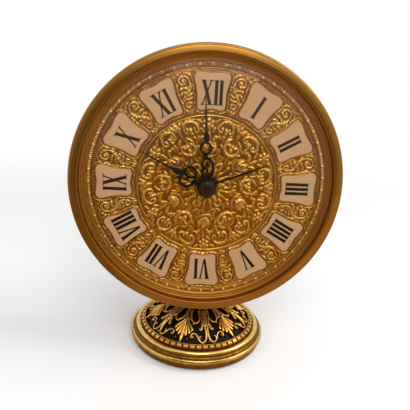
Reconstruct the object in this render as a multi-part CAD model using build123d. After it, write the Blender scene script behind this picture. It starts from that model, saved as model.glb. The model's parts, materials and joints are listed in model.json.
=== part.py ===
from build123d import *
import os
from math import atan2, cos, degrees, pi, radians, sin, sqrt

os.makedirs("parts", exist_ok=True)

# Pedestal alarm clock, in millimetres. +Z is up, the dial faces -Y, and the origin is under the felt.
# Everything in the case is drawn in the clock frame first: x to the right, y up and z towards the viewer,
# with the dial axis as z. The frame is then stood up on its stand.

# Fits
running_gap = 0.08
slip_gap = 0.10
clear_gap = 0.30
press_gap = 0.03

# Stand
felt_thickness = 0.8
felt_radius = 38.0
foot_radius = 42.1
foot_height = 10.1
foot_cavity_radius = 33.0
foot_shoulder_radius = 30.5
foot_shoulder_thickness = 1.2
weight_recess_radius = 11.0
weight_recess_depth = 6.0
dentil_ring_width = 2.7
dentil_count = 48
dome_radius = 33.2
dome_top_radius = 9.0
dome_rise = 12.5
openwork_thickness = 1.1
enamel_thickness = 0.9
palmette_count = 6
palmette_bearing = -16.0
neck_height = 10.4
neck_waist_radius = 5.6
tie_bolt_radius = 2.9
tie_nut_across = 10.0
tie_nut_height = 4.0
tie_washer_radius = 8.0
tie_washer_thickness = 1.2

# Case
drum_radius = 70.4
drum_wall = 1.2
drum_depth = 35.4
drum_rear = -18.0
rear_opening_radius = 60.0
rear_cover_radius = 66.0
rear_cover_thickness = 1.4
edge_round = 0.8
bezel_width = 5.5
bezel_skirt = 5.0
bezel_lip = 1.0
crystal_thickness = 1.4
crystal_rise = 10.1
crystal_flat = 2.0
carrier_thickness = 1.0
carrier_opening_radius = 30.0
surround_height = 3.5
surround_flange = 0.6
surround_cove = 3.0

# Dial
dial_thickness = 1.2
plate_thickness = 1.3
plate_inner_radius = 41.2
plate_outer_radius = 61.8
plate_half_outer = 9.6
plate_half_waist = 7.9
plate_half_inner = 7.8
plate_corner = 2.2
medallion_radius = 38.3
relief_height = 1.1
minute_track_radius = 64.7
minute_track_width = 2.2
minute_count = 60

# Hands
alarm_hand_length = 35.0
hour_hand_length = 40.2
minute_hand_length = 48.9
alarm_hand_bearing = 68.3
hour_hand_bearing = 297.0
minute_hand_bearing = -3.9
hand_thickness = 0.7
hand_lift = 1.0
hand_pitch = 1.85
collet_height = 1.4
cap_radius = 5.0
cap_height = 2.8

# Movement plates
plate_radius = 42.0
movement_plate = 1.6
plate_space = 20.0
motion_space = 2.8
pillar_radius = 2.4
pillar_circle = 38.0
pillar_bearings = (12.0, 90.0, 168.0, 268.0)
post_bearings = (55.0, 140.0, 305.0)
screw_radius = 1.2

# Wheels: tooth counts and modules
cannon_teeth = 12
minute_teeth = 36
minute_pinion_teeth = 12
hour_teeth = 48
setting_teeth = 12
motion_module = 0.45
alarm_wheel_teeth = 64
alarm_setting_teeth = 16
alarm_module = 0.35
barrel_teeth = 84
barrel_module = 0.40
intermediate_pinion_teeth = 14
intermediate_teeth = 60
intermediate_module = 0.38
centre_pinion_teeth = 15
centre_teeth = 96
train_module = 0.25
third_pinion_teeth = 12
third_teeth = 90
fourth_pinion_teeth = 12
fourth_teeth = 80
escape_module = 0.22
escape_pinion_teeth = 10
escape_teeth = 15
escape_radius = 5.0
alarm_barrel_teeth = 72
alarm_train_module = 0.33
alarm_pinion_teeth = 12
star_teeth = 12
star_radius = 4.5
wheel_thickness = 1.0
ratchet_teeth = 18

# Arbors, seen from the front
centre_arbor = 1.0
train_arbor = 0.8
winding_arbor = 2.2
setting_arbor = 1.2
pivot_radius = 0.6
minute_wheel_bearing = 150.0
alarm_setting_bearing = -30.0
intermediate_bearing = 215.0
barrel_bearing = 235.0
third_bearing = 70.0
fourth_bearing = 10.0
escape_bearing = -70.0
pallet_distance = 6.6
pallet_bearing = -60.0
balance_distance = 9.0
balance_bearing = -43.0
balance_radius = 7.2
alarm_barrel_at = (12.0, -27.0)
star_bearing = 10.0
hammer_distance = 7.0
hammer_bearing = 60.0
hammer_length = 16.0
hammer_angle = -20.0
hammer_swing = 10.0
hammer_stop = 12.2
stop_button_at = (0.0, 30.0)

# Outside controls
key_wing_radius = 6.0
key_wing_offset = 8.0
key_wing_thickness = 2.0
knob_radius = 5.0
knob_height = 5.5
knob_flutes = 20
stop_travel = 3.0
stop_radius = 3.6
regulator_reach = 9.0
regulator_swing = 20.0

# Heights on the stand
foot_base = felt_thickness
foot_top = foot_base + foot_height
dome_seat = foot_top - 0.5
weight_top = dome_seat - foot_shoulder_thickness
weight_bottom = felt_thickness + clear_gap
dome_spring = dome_seat + 2.3
dome_top = dome_spring + dome_rise
dome_drop = (dome_top_radius**2 + dome_rise**2 - dome_radius**2) / (2 * dome_rise)
dome_sphere = sqrt(dome_radius**2 + dome_drop**2)
dome_centre = dome_spring + dome_drop
dial_centre_height = dome_top + neck_height + drum_radius
drum_inner = drum_radius - drum_wall
washer_height = 2.7
bolt_head_seat = dial_centre_height - drum_inner + washer_height

# Depths along the dial axis
drum_front = drum_rear + drum_depth
carrier_front = drum_front + carrier_thickness
surround_front = carrier_front + surround_height
dial_back = carrier_front + surround_flange
dial_ground = dial_back + dial_thickness
dial_front = dial_ground + plate_thickness
crystal_front = surround_front + crystal_thickness
front_plate_front = drum_front - motion_space
front_plate_back = front_plate_front - movement_plate
back_plate_front = front_plate_back - plate_space
back_plate_back = back_plate_front - movement_plate
cover_back = drum_rear - rear_cover_thickness
alarm_hand_back = dial_front + hand_lift - 0.2
hour_hand_back = alarm_hand_back + hand_pitch
minute_hand_back = hour_hand_back + hand_pitch

# Radii of the nested pipes
cannon_bore = centre_arbor + running_gap
cannon_pipe = cannon_bore + 0.62
hour_bore = cannon_pipe + running_gap
hour_pipe = hour_bore + 0.72
alarm_bore = hour_pipe + running_gap
alarm_pipe = alarm_bore + 0.72
bezel_bore = drum_radius + slip_gap
bezel_radius = bezel_bore - bezel_lip + bezel_width
crystal_radius = bezel_bore - slip_gap
dial_radius = bezel_bore - bezel_lip - surround_cove - clear_gap


# Drawing aids

def disc(radius, low, high, at=(0.0, 0.0)):
    shape = Cylinder(radius, high - low, align=(Align.CENTER, Align.CENTER, Align.MIN))
    return Pos(at[0], at[1], low) * shape


def tube(radius, bore, low, high, at=(0.0, 0.0)):
    return disc(radius, low, high, at) - disc(bore, low - 1.0, high + 1.0, at)


def outline(start, *moves):
    edges = []
    here = start
    for move in moves:
        there = move[-2:]
        if len(move) == 2:
            edges.append(Line(here, there))
        else:
            edges.append(ThreePointArc(here, move[:2], there))
        here = there
    if here != start:
        edges.append(Line(here, start))
    return make_face(edges)


def turned(start, *moves):
    return revolve(Plane.XZ * outline(start, *moves), Axis.Z)


def cap_drop(edge, rise, radius):
    ball = (edge**2 + rise**2) / (2 * rise)
    return ball - sqrt(ball**2 - radius**2)


def polygon(points):
    return make_face(Polyline(*points, close=True))


def prism(face, low, high):
    return extrude(Pos(0, 0, low) * face, amount=high - low)


def around(radius, bearing):
    return (radius * cos(radians(bearing)), radius * sin(radians(bearing)))


def step_from(origin, distance, bearing):
    x, y = around(distance, bearing)
    return (origin[0] + x, origin[1] + y)


def flat_bore(radius, sides=12):
    reach = radius / cos(pi / sides)
    return [around(reach, 360.0 * k / sides) for k in range(sides)]


def nut_shape(across, low, high):
    reach = across / sqrt(3.0)
    return prism(polygon([around(reach, 60.0 * k) for k in range(6)]), low, high)


def stand_up(shape):
    return Pos(0, 0, dial_centre_height) * Rot(90, 0, 0) * shape


def gather(*shapes):
    solids = []
    for shape in shapes:
        solids.extend(shape.solids())
    return Compound(solids)


# Toothed wheels: straight-flanked teeth with flat faces, a phase in degrees and a many-sided bore

tooth_root_half = 0.27
tooth_pitch_half = 0.20
tooth_tip_half = 0.09
tooth_rise = 0.85
tooth_depth = 1.15


def pitch_radius(teeth, module):
    return teeth * module / 2.0


def tooth_points(teeth, module, phase):
    middle = pitch_radius(teeth, module)
    root = middle - tooth_depth * module
    tip = middle + tooth_rise * module
    shape = (
        (root, -tooth_root_half),
        (middle, -tooth_pitch_half),
        (tip, -tooth_tip_half),
        (tip, tooth_tip_half),
        (middle, tooth_pitch_half),
        (root, tooth_root_half),
    )
    points = []
    for k in range(teeth):
        for radius, offset in shape:
            points.append(around(radius, phase + 360.0 * (k + offset) / teeth))
    return points


def toothed(teeth, module, phase, bore, low, high, at, spokes=0):
    face = polygon(tooth_points(teeth, module, phase)) - polygon(flat_bore(bore))
    if spokes:
        inner = bore + 2.2
        outer = pitch_radius(teeth, module) - tooth_depth * module - 1.6
        span = 360.0 / spokes
        for k in range(spokes):
            middle = phase + k * span
            window = [around(outer, middle + span * t) for t in (-0.36, -0.12, 0.12, 0.36)]
            window += [around(inner, middle + span * t) for t in (0.26, 0.0, -0.26)]
            face -= polygon(window)
    return Pos(at[0], at[1], 0) * prism(face, low, high)


def mesh_phase(from_at, from_teeth, from_phase, to_at, to_teeth):
    bearing = degrees(atan2(to_at[1] - from_at[1], to_at[0] - from_at[0]))
    from_share = (bearing - from_phase) * from_teeth / 360.0
    return bearing + 180.0 - 360.0 / to_teeth * (0.5 - from_share)


def centre_distance(first, second, module):
    return (first + second) * module / 2.0


# Places of the arbors

centre_at = (0.0, 0.0)
motion_distance = centre_distance(cannon_teeth, minute_teeth, motion_module)
hour_module = 2.0 * motion_distance / (minute_pinion_teeth + hour_teeth)
minute_at = step_from(centre_at, motion_distance, minute_wheel_bearing)
setting_distance = centre_distance(minute_teeth, setting_teeth, motion_module)
setting_at = step_from(minute_at, setting_distance, minute_wheel_bearing)
alarm_setting_distance = centre_distance(alarm_wheel_teeth, alarm_setting_teeth, alarm_module)
alarm_setting_at = step_from(centre_at, alarm_setting_distance, alarm_setting_bearing)
intermediate_distance = centre_distance(intermediate_teeth, centre_pinion_teeth, intermediate_module)
intermediate_at = step_from(centre_at, intermediate_distance, intermediate_bearing)
barrel_distance = centre_distance(barrel_teeth, intermediate_pinion_teeth, barrel_module)
barrel_at = step_from(intermediate_at, barrel_distance, barrel_bearing)
third_distance = centre_distance(centre_teeth, third_pinion_teeth, train_module)
third_at = step_from(centre_at, third_distance, third_bearing)
fourth_distance = centre_distance(third_teeth, fourth_pinion_teeth, train_module)
fourth_at = step_from(third_at, fourth_distance, fourth_bearing)
escape_distance = centre_distance(fourth_teeth, escape_pinion_teeth, escape_module)
escape_at = step_from(fourth_at, escape_distance, escape_bearing)
pallet_at = step_from(escape_at, pallet_distance, pallet_bearing)
balance_at = step_from(pallet_at, balance_distance, balance_bearing)
star_distance = centre_distance(alarm_barrel_teeth, alarm_pinion_teeth, alarm_train_module)
star_at = step_from(alarm_barrel_at, star_distance, star_bearing)
hammer_at = step_from(star_at, hammer_distance, hammer_bearing)
sounding_at = step_from(hammer_at, hammer_length + 3.2, hammer_angle - hammer_swing - hammer_stop)

# Phases of the meshing wheels
minute_phase = mesh_phase(centre_at, cannon_teeth, 0.0, minute_at, minute_teeth)
setting_phase = mesh_phase(minute_at, minute_teeth, minute_phase, setting_at, setting_teeth)
minute_pinion_phase = 0.0
hour_phase = mesh_phase(minute_at, minute_pinion_teeth, minute_pinion_phase, centre_at, hour_teeth)
alarm_setting_phase = mesh_phase(
    centre_at, alarm_wheel_teeth, 0.0, alarm_setting_at, alarm_setting_teeth)
intermediate_pinion_phase = mesh_phase(
    barrel_at, barrel_teeth, 0.0, intermediate_at, intermediate_pinion_teeth)
centre_pinion_phase = mesh_phase(
    intermediate_at, intermediate_teeth, 0.0, centre_at, centre_pinion_teeth)
third_pinion_phase = mesh_phase(centre_at, centre_teeth, 0.0, third_at, third_pinion_teeth)
fourth_pinion_phase = mesh_phase(third_at, third_teeth, 0.0, fourth_at, fourth_pinion_teeth)
escape_pinion_phase = mesh_phase(fourth_at, fourth_teeth, 0.0, escape_at, escape_pinion_teeth)
alarm_pinion_phase = mesh_phase(
    alarm_barrel_at, alarm_barrel_teeth, 0.0, star_at, alarm_pinion_teeth)

# Levels between the movement plates
barrel_low = back_plate_front + 1.2
barrel_high = barrel_low + 11.0
intermediate_low = barrel_high + 4.4
centre_low = intermediate_low - 2.6
third_low = centre_low - 4.0
fourth_low = third_low - 4.0
escape_low = fourth_low - 3.2
alarm_teeth_low = barrel_high - 1.6
star_low = barrel_high + 2.4
ratchet_low = back_plate_back - 1.8
cock_back = back_plate_back - 3.6


# The stand

def felt_pad():
    return disc(felt_radius, 0.0, felt_thickness)


def foot_ring():
    return turned(
        (foot_radius - 1.3, foot_base),
        (foot_radius, foot_base + 0.19 * foot_height, foot_radius - 1.1, foot_base + 0.41 * foot_height),
        (foot_radius - 1.8, foot_base + 0.49 * foot_height, foot_radius - 1.0, foot_base + 0.57 * foot_height),
        (foot_radius - 2.4, foot_base + 0.88 * foot_height, foot_radius - 5.9, foot_top),
        (foot_radius - 5.9, dome_seat),
        (foot_shoulder_radius, dome_seat),
        (foot_shoulder_radius, weight_top),
        (foot_cavity_radius, weight_top),
        (foot_cavity_radius, foot_base),
    )


def base_weight():
    block = disc(foot_cavity_radius - clear_gap, weight_bottom, weight_top)
    block -= disc(weight_recess_radius, weight_bottom - 1.0, weight_bottom + weight_recess_depth)
    return block - disc(tie_bolt_radius + clear_gap, 0.0, weight_top + 1.0)


def dome_shell(radius, thickness, low, high, bore):
    ball = Pos(0, 0, dome_centre) * Sphere(radius)
    ball -= Pos(0, 0, dome_centre) * Sphere(radius - thickness)
    ball &= disc(radius, low, high)
    return ball - disc(bore, low - 1.0, high + 5.0)


def enamel_dome():
    return dome_shell(
        dome_sphere - openwork_thickness - clear_gap,
        enamel_thickness,
        dome_seat,
        dome_top,
        tie_bolt_radius + clear_gap,
    )


def palmette_face():
    reach = dome_radius
    petals = polygon([
        (0.28 * reach, -1.0), (0.52 * reach, -2.0), (0.72 * reach, -5.2), (0.80 * reach, -4.6),
        (0.86 * reach, -2.2), (0.90 * reach, 0.0), (0.86 * reach, 2.2), (0.80 * reach, 4.6),
        (0.72 * reach, 5.2), (0.52 * reach, 2.0), (0.28 * reach, 1.0),
    ])
    stem = polygon([(0.80 * reach, -1.1), (1.02 * reach, -1.9), (1.02 * reach, 1.9), (0.80 * reach, 1.1)])
    return petals + stem


def strap_face():
    reach = dome_radius
    face = polygon([(0.25 * reach, -0.9), (1.02 * reach, -1.2), (1.02 * reach, 1.2), (0.25 * reach, 0.9)])
    for side in (-1.0, 1.0):
        scroll = Pos(0.84 * reach, side * 4.0) * (Circle(2.9) - Circle(1.7))
        scroll += Pos(0.45 * reach, side * 3.1) * (Circle(2.7) - Circle(1.5))
        face += scroll
    return face


def openwork_dome():
    shell = dome_shell(
        dome_sphere, openwork_thickness, dome_seat, dome_top, tie_bolt_radius + clear_gap)
    low = dome_seat - 1.0
    high = dome_top + 1.0
    keep = disc(dome_top_radius + 1.0, low, high)
    keep += tube(dome_sphere, dome_radius - 1.0, low, high)
    palmette = prism(palmette_face(), low, high)
    strap = prism(strap_face(), low, high)
    spacing = 360.0 / palmette_count
    for k in range(palmette_count):
        bearing = palmette_bearing - 90.0 + k * spacing
        keep += Rot(0, 0, bearing) * palmette
        keep += Rot(0, 0, bearing + spacing / 2.0) * strap
    work = shell & keep
    inner = sqrt((dome_sphere - openwork_thickness)**2 - (dome_seat - dome_centre)**2)
    ring = turned(
        (inner, dome_seat),
        (dome_radius + dentil_ring_width, dome_seat),
        (dome_radius + dentil_ring_width, dome_seat + 0.7),
        (dome_radius + 0.7 * dentil_ring_width, dome_seat + 1.7, dome_radius, dome_spring),
    )
    notch = Pos(dome_radius + 0.6 * dentil_ring_width, 0, dome_seat + 2.0) * Box(1.2, 1.1, 1.6)
    for k in range(dentil_count):
        ring -= Rot(0, 0, 360.0 * k / dentil_count) * notch
    return work + ring


def neck():
    top = dome_top + neck_height + 4.0
    body = turned(
        (0.0, dome_top),
        (dome_top_radius, dome_top),
        (dome_top_radius, dome_top + 1.4),
        (neck_waist_radius + 0.6, dome_top + 2.2, neck_waist_radius, dome_top + 4.4),
        (neck_waist_radius + 0.8, dome_top + 7.4, dome_top_radius + 0.5, dome_top + 9.2),
        (dome_top_radius + 0.5, top),
        (0.0, top),
    )
    body -= disc(tie_bolt_radius + clear_gap, dome_top - 1.0, top + 1.0)
    return body - stand_up(disc(drum_radius + press_gap, drum_rear - 5.0, drum_front + 5.0))


def saddle_washer():
    low = dial_centre_height - drum_inner
    block = Pos(0, 0, low) * Box(
        15.0, 15.0, 2 * washer_height, align=(Align.CENTER, Align.CENTER, Align.CENTER))
    block &= stand_up(disc(drum_inner - press_gap, drum_rear, drum_front))
    return block - disc(tie_bolt_radius + clear_gap, low - 5.0, low + 9.0)


def tie_bolt():
    foot = weight_bottom + 0.6
    shank = disc(tie_bolt_radius, foot, bolt_head_seat + 1.0)
    return shank + nut_shape(tie_nut_across, bolt_head_seat, bolt_head_seat + tie_nut_height)


def base_nut():
    ceiling = weight_bottom + weight_recess_depth
    floor = ceiling - tie_washer_thickness
    washer = tube(tie_washer_radius, tie_bolt_radius + clear_gap, floor, ceiling)
    nut = nut_shape(tie_nut_across, floor - tie_nut_height, floor)
    nut -= disc(tie_bolt_radius + press_gap, floor - 9.0, floor + 1.0)
    return gather(washer, nut)


# The case

def case_drum():
    shell = tube(drum_radius, drum_inner, drum_rear, drum_front)
    shell += tube(drum_inner + 0.5, rear_opening_radius, drum_rear, drum_rear + drum_wall)
    for k in range(4):
        at = around(rear_cover_radius - 3.0, 45.0 + 90.0 * k)
        shell -= disc(screw_radius + press_gap, drum_rear - 1.0, drum_rear + 4.0, at)
    shell = stand_up(shell)
    low = dial_centre_height - drum_radius
    return shell - disc(tie_bolt_radius + clear_gap, low - 2.0, low + 6.0)


def bezel():
    skirt_low = drum_front - bezel_skirt
    lip_radius = bezel_bore - bezel_lip
    crown = crystal_front + 2.7
    ring = turned(
        (bezel_bore, skirt_low),
        (bezel_bore + 1.4, skirt_low),
        (bezel_bore + 2.0, skirt_low + 4.6),
        (bezel_radius - 1.5, drum_front + 2.6, bezel_radius, crystal_front - 0.4),
        (bezel_radius - 0.5, crown - 0.9, bezel_radius - 2.3, crown),
        (lip_radius + 1.0, crown - 0.4, lip_radius, crown - 1.5),
        (lip_radius, crystal_front),
        (bezel_bore, crystal_front),
    )
    for k in range(3):
        hole = Rot(0, 0, 30.0 + 120.0 * k) * Pos(bezel_bore, 0, skirt_low + 2.0) * Rot(0, 90, 0)
        ring -= hole * Cylinder(screw_radius + press_gap, 8.0)
    return stand_up(ring)


def bezel_screws():
    skirt_low = drum_front - bezel_skirt
    screws = []
    for k in range(3):
        seat = Rot(0, 0, 30.0 + 120.0 * k) * Pos(drum_radius + press_gap, 0, skirt_low + 2.0)
        shank = Cylinder(screw_radius, 1.9, align=(Align.CENTER, Align.CENTER, Align.MIN))
        shank -= Pos(0, 0, 1.9) * Box(0.5, 3.0, 0.8)
        screws.append(stand_up(seat * Rot(0, 90, 0) * shank))
    return gather(*screws)


def crystal():
    edge = crystal_radius - crystal_flat
    half = edge / 2.0
    drop = cap_drop(edge, crystal_rise, half)
    return stand_up(turned(
        (crystal_radius, surround_front),
        (crystal_radius, crystal_front),
        (edge, crystal_front),
        (half, crystal_front + crystal_rise - drop, 0.0, crystal_front + crystal_rise),
        (0.0, surround_front + crystal_rise),
        (half, surround_front + crystal_rise - drop, edge, surround_front),
    ))


def dial_surround():
    outer = drum_radius - slip_gap
    edge = bezel_bore - bezel_lip - clear_gap
    inner = edge - surround_cove + clear_gap
    return stand_up(turned(
        (inner - 2.8, carrier_front),
        (outer, carrier_front),
        (outer, surround_front),
        (edge, surround_front),
        (inner + 1.7, surround_front - 1.15, inner, surround_front - 1.5),
        (inner, dial_back),
        (inner - 2.8, dial_back),
    ))


def dial_plate():
    plate = tube(dial_radius, alarm_pipe + clear_gap, dial_back, dial_ground)
    relief = tube(medallion_radius + 0.4, medallion_radius - 0.4, dial_back + 0.2, dial_ground + relief_height)
    relief += tube(dial_radius, dial_radius - 0.7, dial_back + 0.2, dial_ground + 0.6)
    relief += tube(8.2, 7.2, dial_back + 0.2, dial_ground + relief_height)
    block = Pos(0, minute_track_radius, dial_ground) * Box(
        4.6, minute_track_width, 0.7, align=(Align.CENTER, Align.CENTER, Align.CENTER))
    for k in range(minute_count):
        relief += Rot(0, 0, -360.0 * (k + 0.5) / minute_count) * block
    for k in range(12):
        at = around(51.5, 75.0 - 30.0 * k)
        relief += Pos(at[0], at[1], dial_ground) * Cone(
            2.4, 1.2, relief_height, align=(Align.CENTER, Align.CENTER, Align.MIN))
        leaf = around(20.5, 90.0 - 30.0 * k)
        relief += Pos(leaf[0], leaf[1], dial_ground) * Cone(
            2.3, 0.9, relief_height, align=(Align.CENTER, Align.CENTER, Align.MIN))
    for k in range(6):
        at = around(33.6, 90.0 - 60.0 * k)
        relief += Pos(at[0], at[1], dial_ground) * Cone(
            2.9, 1.4, relief_height, align=(Align.CENTER, Align.CENTER, Align.MIN))
        for side in (-1.0, 1.0):
            curl = around(28.0, 90.0 - 60.0 * k + side * 17.0)
            relief += tube(3.4, 1.9, dial_back + 0.2, dial_ground + relief_height, curl)
    return stand_up(plate + relief)


def plate_face():
    low = plate_inner_radius
    high = plate_outer_radius
    face = outline(
        (-plate_half_inner, low),
        (0.0, low + 0.9, plate_half_inner, low),
        (plate_half_waist, 0.5 * (low + high) - 1.0, plate_half_outer, high),
        (0.0, high - 0.7, -plate_half_outer, high),
        (-plate_half_waist, 0.5 * (low + high) - 1.0, -plate_half_inner, low),
    )
    return fillet(face.vertices(), plate_corner)


def numeral_plates():
    plate = prism(plate_face(), dial_ground, dial_front)
    return gather(*[stand_up(Rot(0, 0, -30.0 * k) * plate) for k in range(12)])


def carrier_plate():
    plate = tube(drum_radius - slip_gap, carrier_opening_radius, drum_front, carrier_front)
    for bearing in post_bearings:
        plate -= disc(screw_radius + press_gap, drum_front - 1.0, carrier_front + 1.0,
                      around(pillar_circle, bearing))
    return stand_up(plate)


def carrier_posts():
    pieces = []
    for bearing in post_bearings:
        at = around(pillar_circle, bearing)
        pieces.append(tube(2.5, screw_radius + press_gap, front_plate_front, drum_front, at))
        screw = disc(screw_radius, front_plate_back + 0.3, carrier_front + 0.1, at)
        screw += disc(2.4, carrier_front, dial_back - 0.05, at)
        pieces.append(screw)
    return gather(*[stand_up(piece) for piece in pieces])


def rear_cover():
    cover = turned(
        (0.0, drum_rear),
        (rear_cover_radius, drum_rear),
        (rear_cover_radius, cover_back + edge_round),
        (rear_cover_radius - 0.3 * edge_round, cover_back + 0.3 * edge_round,
         rear_cover_radius - edge_round, cover_back),
        (0.0, cover_back),
    )
    low = cover_back - 1.0
    high = drum_rear + 1.0
    for at, radius in (
        (barrel_at, winding_arbor),
        (alarm_barrel_at, winding_arbor),
        (setting_at, setting_arbor),
        (alarm_setting_at, setting_arbor),
        (stop_button_at, 1.6),
    ):
        cover -= disc(radius + clear_gap, low, high, at)
    for k in range(4):
        cover -= disc(screw_radius + slip_gap, low, high, around(rear_cover_radius - 3.0, 45.0 + 90.0 * k))
    for k in range(9):
        cover -= disc(1.3, low, high, around(46.0, 50.0 + 10.0 * k))
    slot = Pos(balance_at[0], balance_at[1], low) * slot_prism(high - low)
    cover -= disc(1.6 + press_gap, low, high, sounding_at)
    return stand_up(cover - slot)


def slot_prism(depth):
    width = 1.4
    reach = regulator_swing + 14.0
    outer = [around(regulator_reach + width, 60.0 + reach * (k / 6.0 - 1.0)) for k in range(13)]
    inner = [around(regulator_reach - width, 60.0 - reach * (k / 6.0 - 1.0)) for k in range(13)]
    return prism(polygon(outer + inner), 0.0, depth)


def rear_cover_screws():
    screws = []
    for k in range(4):
        at = around(rear_cover_radius - 3.0, 45.0 + 90.0 * k)
        screw = disc(screw_radius, cover_back - 0.1, drum_rear + 3.0, at)
        head = disc(2.3, cover_back - 1.3, cover_back, at)
        head -= Pos(at[0], at[1], cover_back - 1.3) * Box(0.6, 6.0, 1.0)
        screws.append(stand_up(screw + head))
    return gather(*screws)


# The frame of the movement

def movement_plate_with_holes(low, high, holes):
    plate = disc(plate_radius, low, high)
    for at, radius in holes:
        plate -= disc(radius, low - 1.0, high + 1.0, at)
    return plate


def front_plate():
    holes = [
        (centre_at, centre_arbor + 0.5 + running_gap),
        (setting_at, setting_arbor + running_gap),
        (alarm_setting_at, setting_arbor + running_gap),
        (barrel_at, 1.4 + running_gap),
        (alarm_barrel_at, 1.4 + running_gap),
        (minute_at, train_arbor + press_gap),
    ]
    for at in (intermediate_at, third_at, fourth_at, escape_at, pallet_at, balance_at, star_at, hammer_at):
        holes.append((at, pivot_radius + running_gap))
    for bearing in post_bearings:
        holes.append((around(pillar_circle, bearing), screw_radius + press_gap))
    for bearing in pillar_bearings:
        holes.append((around(pillar_circle, bearing), screw_radius + press_gap))
    plate = movement_plate_with_holes(front_plate_back, front_plate_front, holes)
    stud = disc(train_arbor, front_plate_back, front_plate_front + 3.2, minute_at)
    return gather(stand_up(plate), stand_up(stud))


def back_plate():
    holes = [
        (centre_at, pivot_radius + running_gap),
        (setting_at, setting_arbor + running_gap),
        (alarm_setting_at, setting_arbor + running_gap),
        (barrel_at, winding_arbor + running_gap),
        (alarm_barrel_at, winding_arbor + running_gap),
        (balance_at, 2.0),
        (hammer_at, 0.9 + running_gap),
        (step_from(balance_at, 7.0, -90.0), screw_radius + press_gap),
    ]
    for at in (intermediate_at, third_at, fourth_at, escape_at, pallet_at, star_at):
        holes.append((at, pivot_radius + running_gap))
    for bearing in pillar_bearings:
        holes.append((around(pillar_circle, bearing), screw_radius + press_gap))
    for pin in (time_click_at, alarm_click_at):
        holes.append((pin, 0.9 + press_gap))
    return stand_up(movement_plate_with_holes(back_plate_back, back_plate_front, holes))


def plate_pillars():
    pieces = []
    for bearing in pillar_bearings:
        at = around(pillar_circle, bearing)
        pillar = disc(pillar_radius, back_plate_front, front_plate_back, at)
        pillar -= disc(screw_radius + press_gap, front_plate_back - 4.0, front_plate_back + 1.0, at)
        pillar -= disc(screw_radius + press_gap, back_plate_front - 1.0, back_plate_front + 4.0, at)
        pieces.append(pillar)
        front = disc(screw_radius, front_plate_back - 3.6, front_plate_front + 0.1, at)
        pieces.append(front + disc(2.2, front_plate_front, front_plate_front + 1.2, at))
        rear = disc(screw_radius, back_plate_back - 0.1, back_plate_front + 3.6, at)
        pieces.append(rear + disc(2.2, back_plate_back - 1.2, back_plate_back, at))
    return gather(*[stand_up(piece) for piece in pieces])


def balance_cock():
    foot_at = step_from(balance_at, 7.0, -90.0)
    low = cock_back
    arm = prism(polygon([(-1.9, 0.0), (1.9, 0.0), (2.6, -9.4), (-2.6, -9.4)]), low, low + 1.2)
    cock = Pos(balance_at[0], balance_at[1], 0) * arm
    cock += disc(2.2, low, low + 1.2, balance_at)
    cock += disc(2.0, low - 1.4, low + 0.1, balance_at)
    cock += disc(2.6, low, back_plate_back, foot_at)
    cock -= disc(pivot_radius + running_gap, low - 3.0, low + 3.0, balance_at)
    cock -= disc(screw_radius + press_gap, low - 1.0, back_plate_back + 1.0, foot_at)
    screw = disc(screw_radius, low - 0.1, back_plate_front - 0.2, foot_at)
    screw += disc(2.1, low - 1.2, low, foot_at)
    return gather(stand_up(cock), stand_up(screw))


ratchet_tip = 6.0
ratchet_root = 5.0
time_click_at = step_from(barrel_at, ratchet_tip + 3.6, 120.0)
alarm_click_at = step_from(alarm_barrel_at, ratchet_tip + 3.6, 200.0)


def click(at, pivot_bearing):
    nose = pivot_bearing + 180.0 - 62.0
    tip = step_from(at, 4.4, nose)
    left = step_from(at, 1.5, nose + 90.0)
    right = step_from(at, 1.5, nose - 90.0)
    low = ratchet_low
    high = ratchet_low + 1.2
    pawl = prism(polygon([left, right, tip]), low, high) + disc(1.5, low, high, at)
    pawl -= disc(0.9 + running_gap, low - 1.0, high + 1.0, at)
    pin = disc(0.9, low - 0.3, back_plate_front - 0.2, at)
    pin += disc(1.5, low - 0.9, low - 0.2, at)
    return gather(stand_up(pawl), stand_up(pin))


def sounding_post():
    post = disc(1.6, cover_back - 0.6, drum_rear + 0.1, sounding_at)
    return stand_up(post + disc(2.2, drum_rear, drum_rear + 8.0, sounding_at))


# The hands and the motion work

def hand_place(shape, bearing):
    return stand_up(Rot(0, 0, -bearing) * shape)


def ring_face(centre, outer, inner):
    return Pos(centre[0], centre[1]) * (Circle(outer) - Circle(inner))


def tapered_face(points):
    right = [(half, height) for height, half in points]
    left = [(-half, height) for height, half in reversed(points)]
    return polygon(right + left)


def collet(radius, bore, low):
    return tube(radius, bore, low, low + collet_height)


def minute_hand():
    reach = minute_hand_length
    face = tapered_face([(3.0, 0.9), (0.205 * reach, 0.8)])
    face += ring_face((0.0, 0.266 * reach), 3.6, 2.5)
    face += ring_face((0.9, 0.245 * reach), 1.6, 0.9)
    face += tapered_face([(0.328 * reach, 0.7), (0.40 * reach, 0.6)])
    face += ring_face((0.0, 0.448 * reach), 3.2, 2.2)
    face += tapered_face([
        (0.506 * reach, 0.6), (0.535 * reach, 1.2), (0.565 * reach, 1.5),
        (0.64 * reach, 0.9), (0.70 * reach, 0.6), (reach, 0.15),
    ])
    blade = prism(face, minute_hand_back + 0.3, minute_hand_back + 0.3 + hand_thickness)
    hand = blade + disc(cap_radius - 0.4, minute_hand_back, minute_hand_back + collet_height)
    return hand_place(hand - disc(cannon_pipe + press_gap, 0.0, 60.0), minute_hand_bearing)


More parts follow.
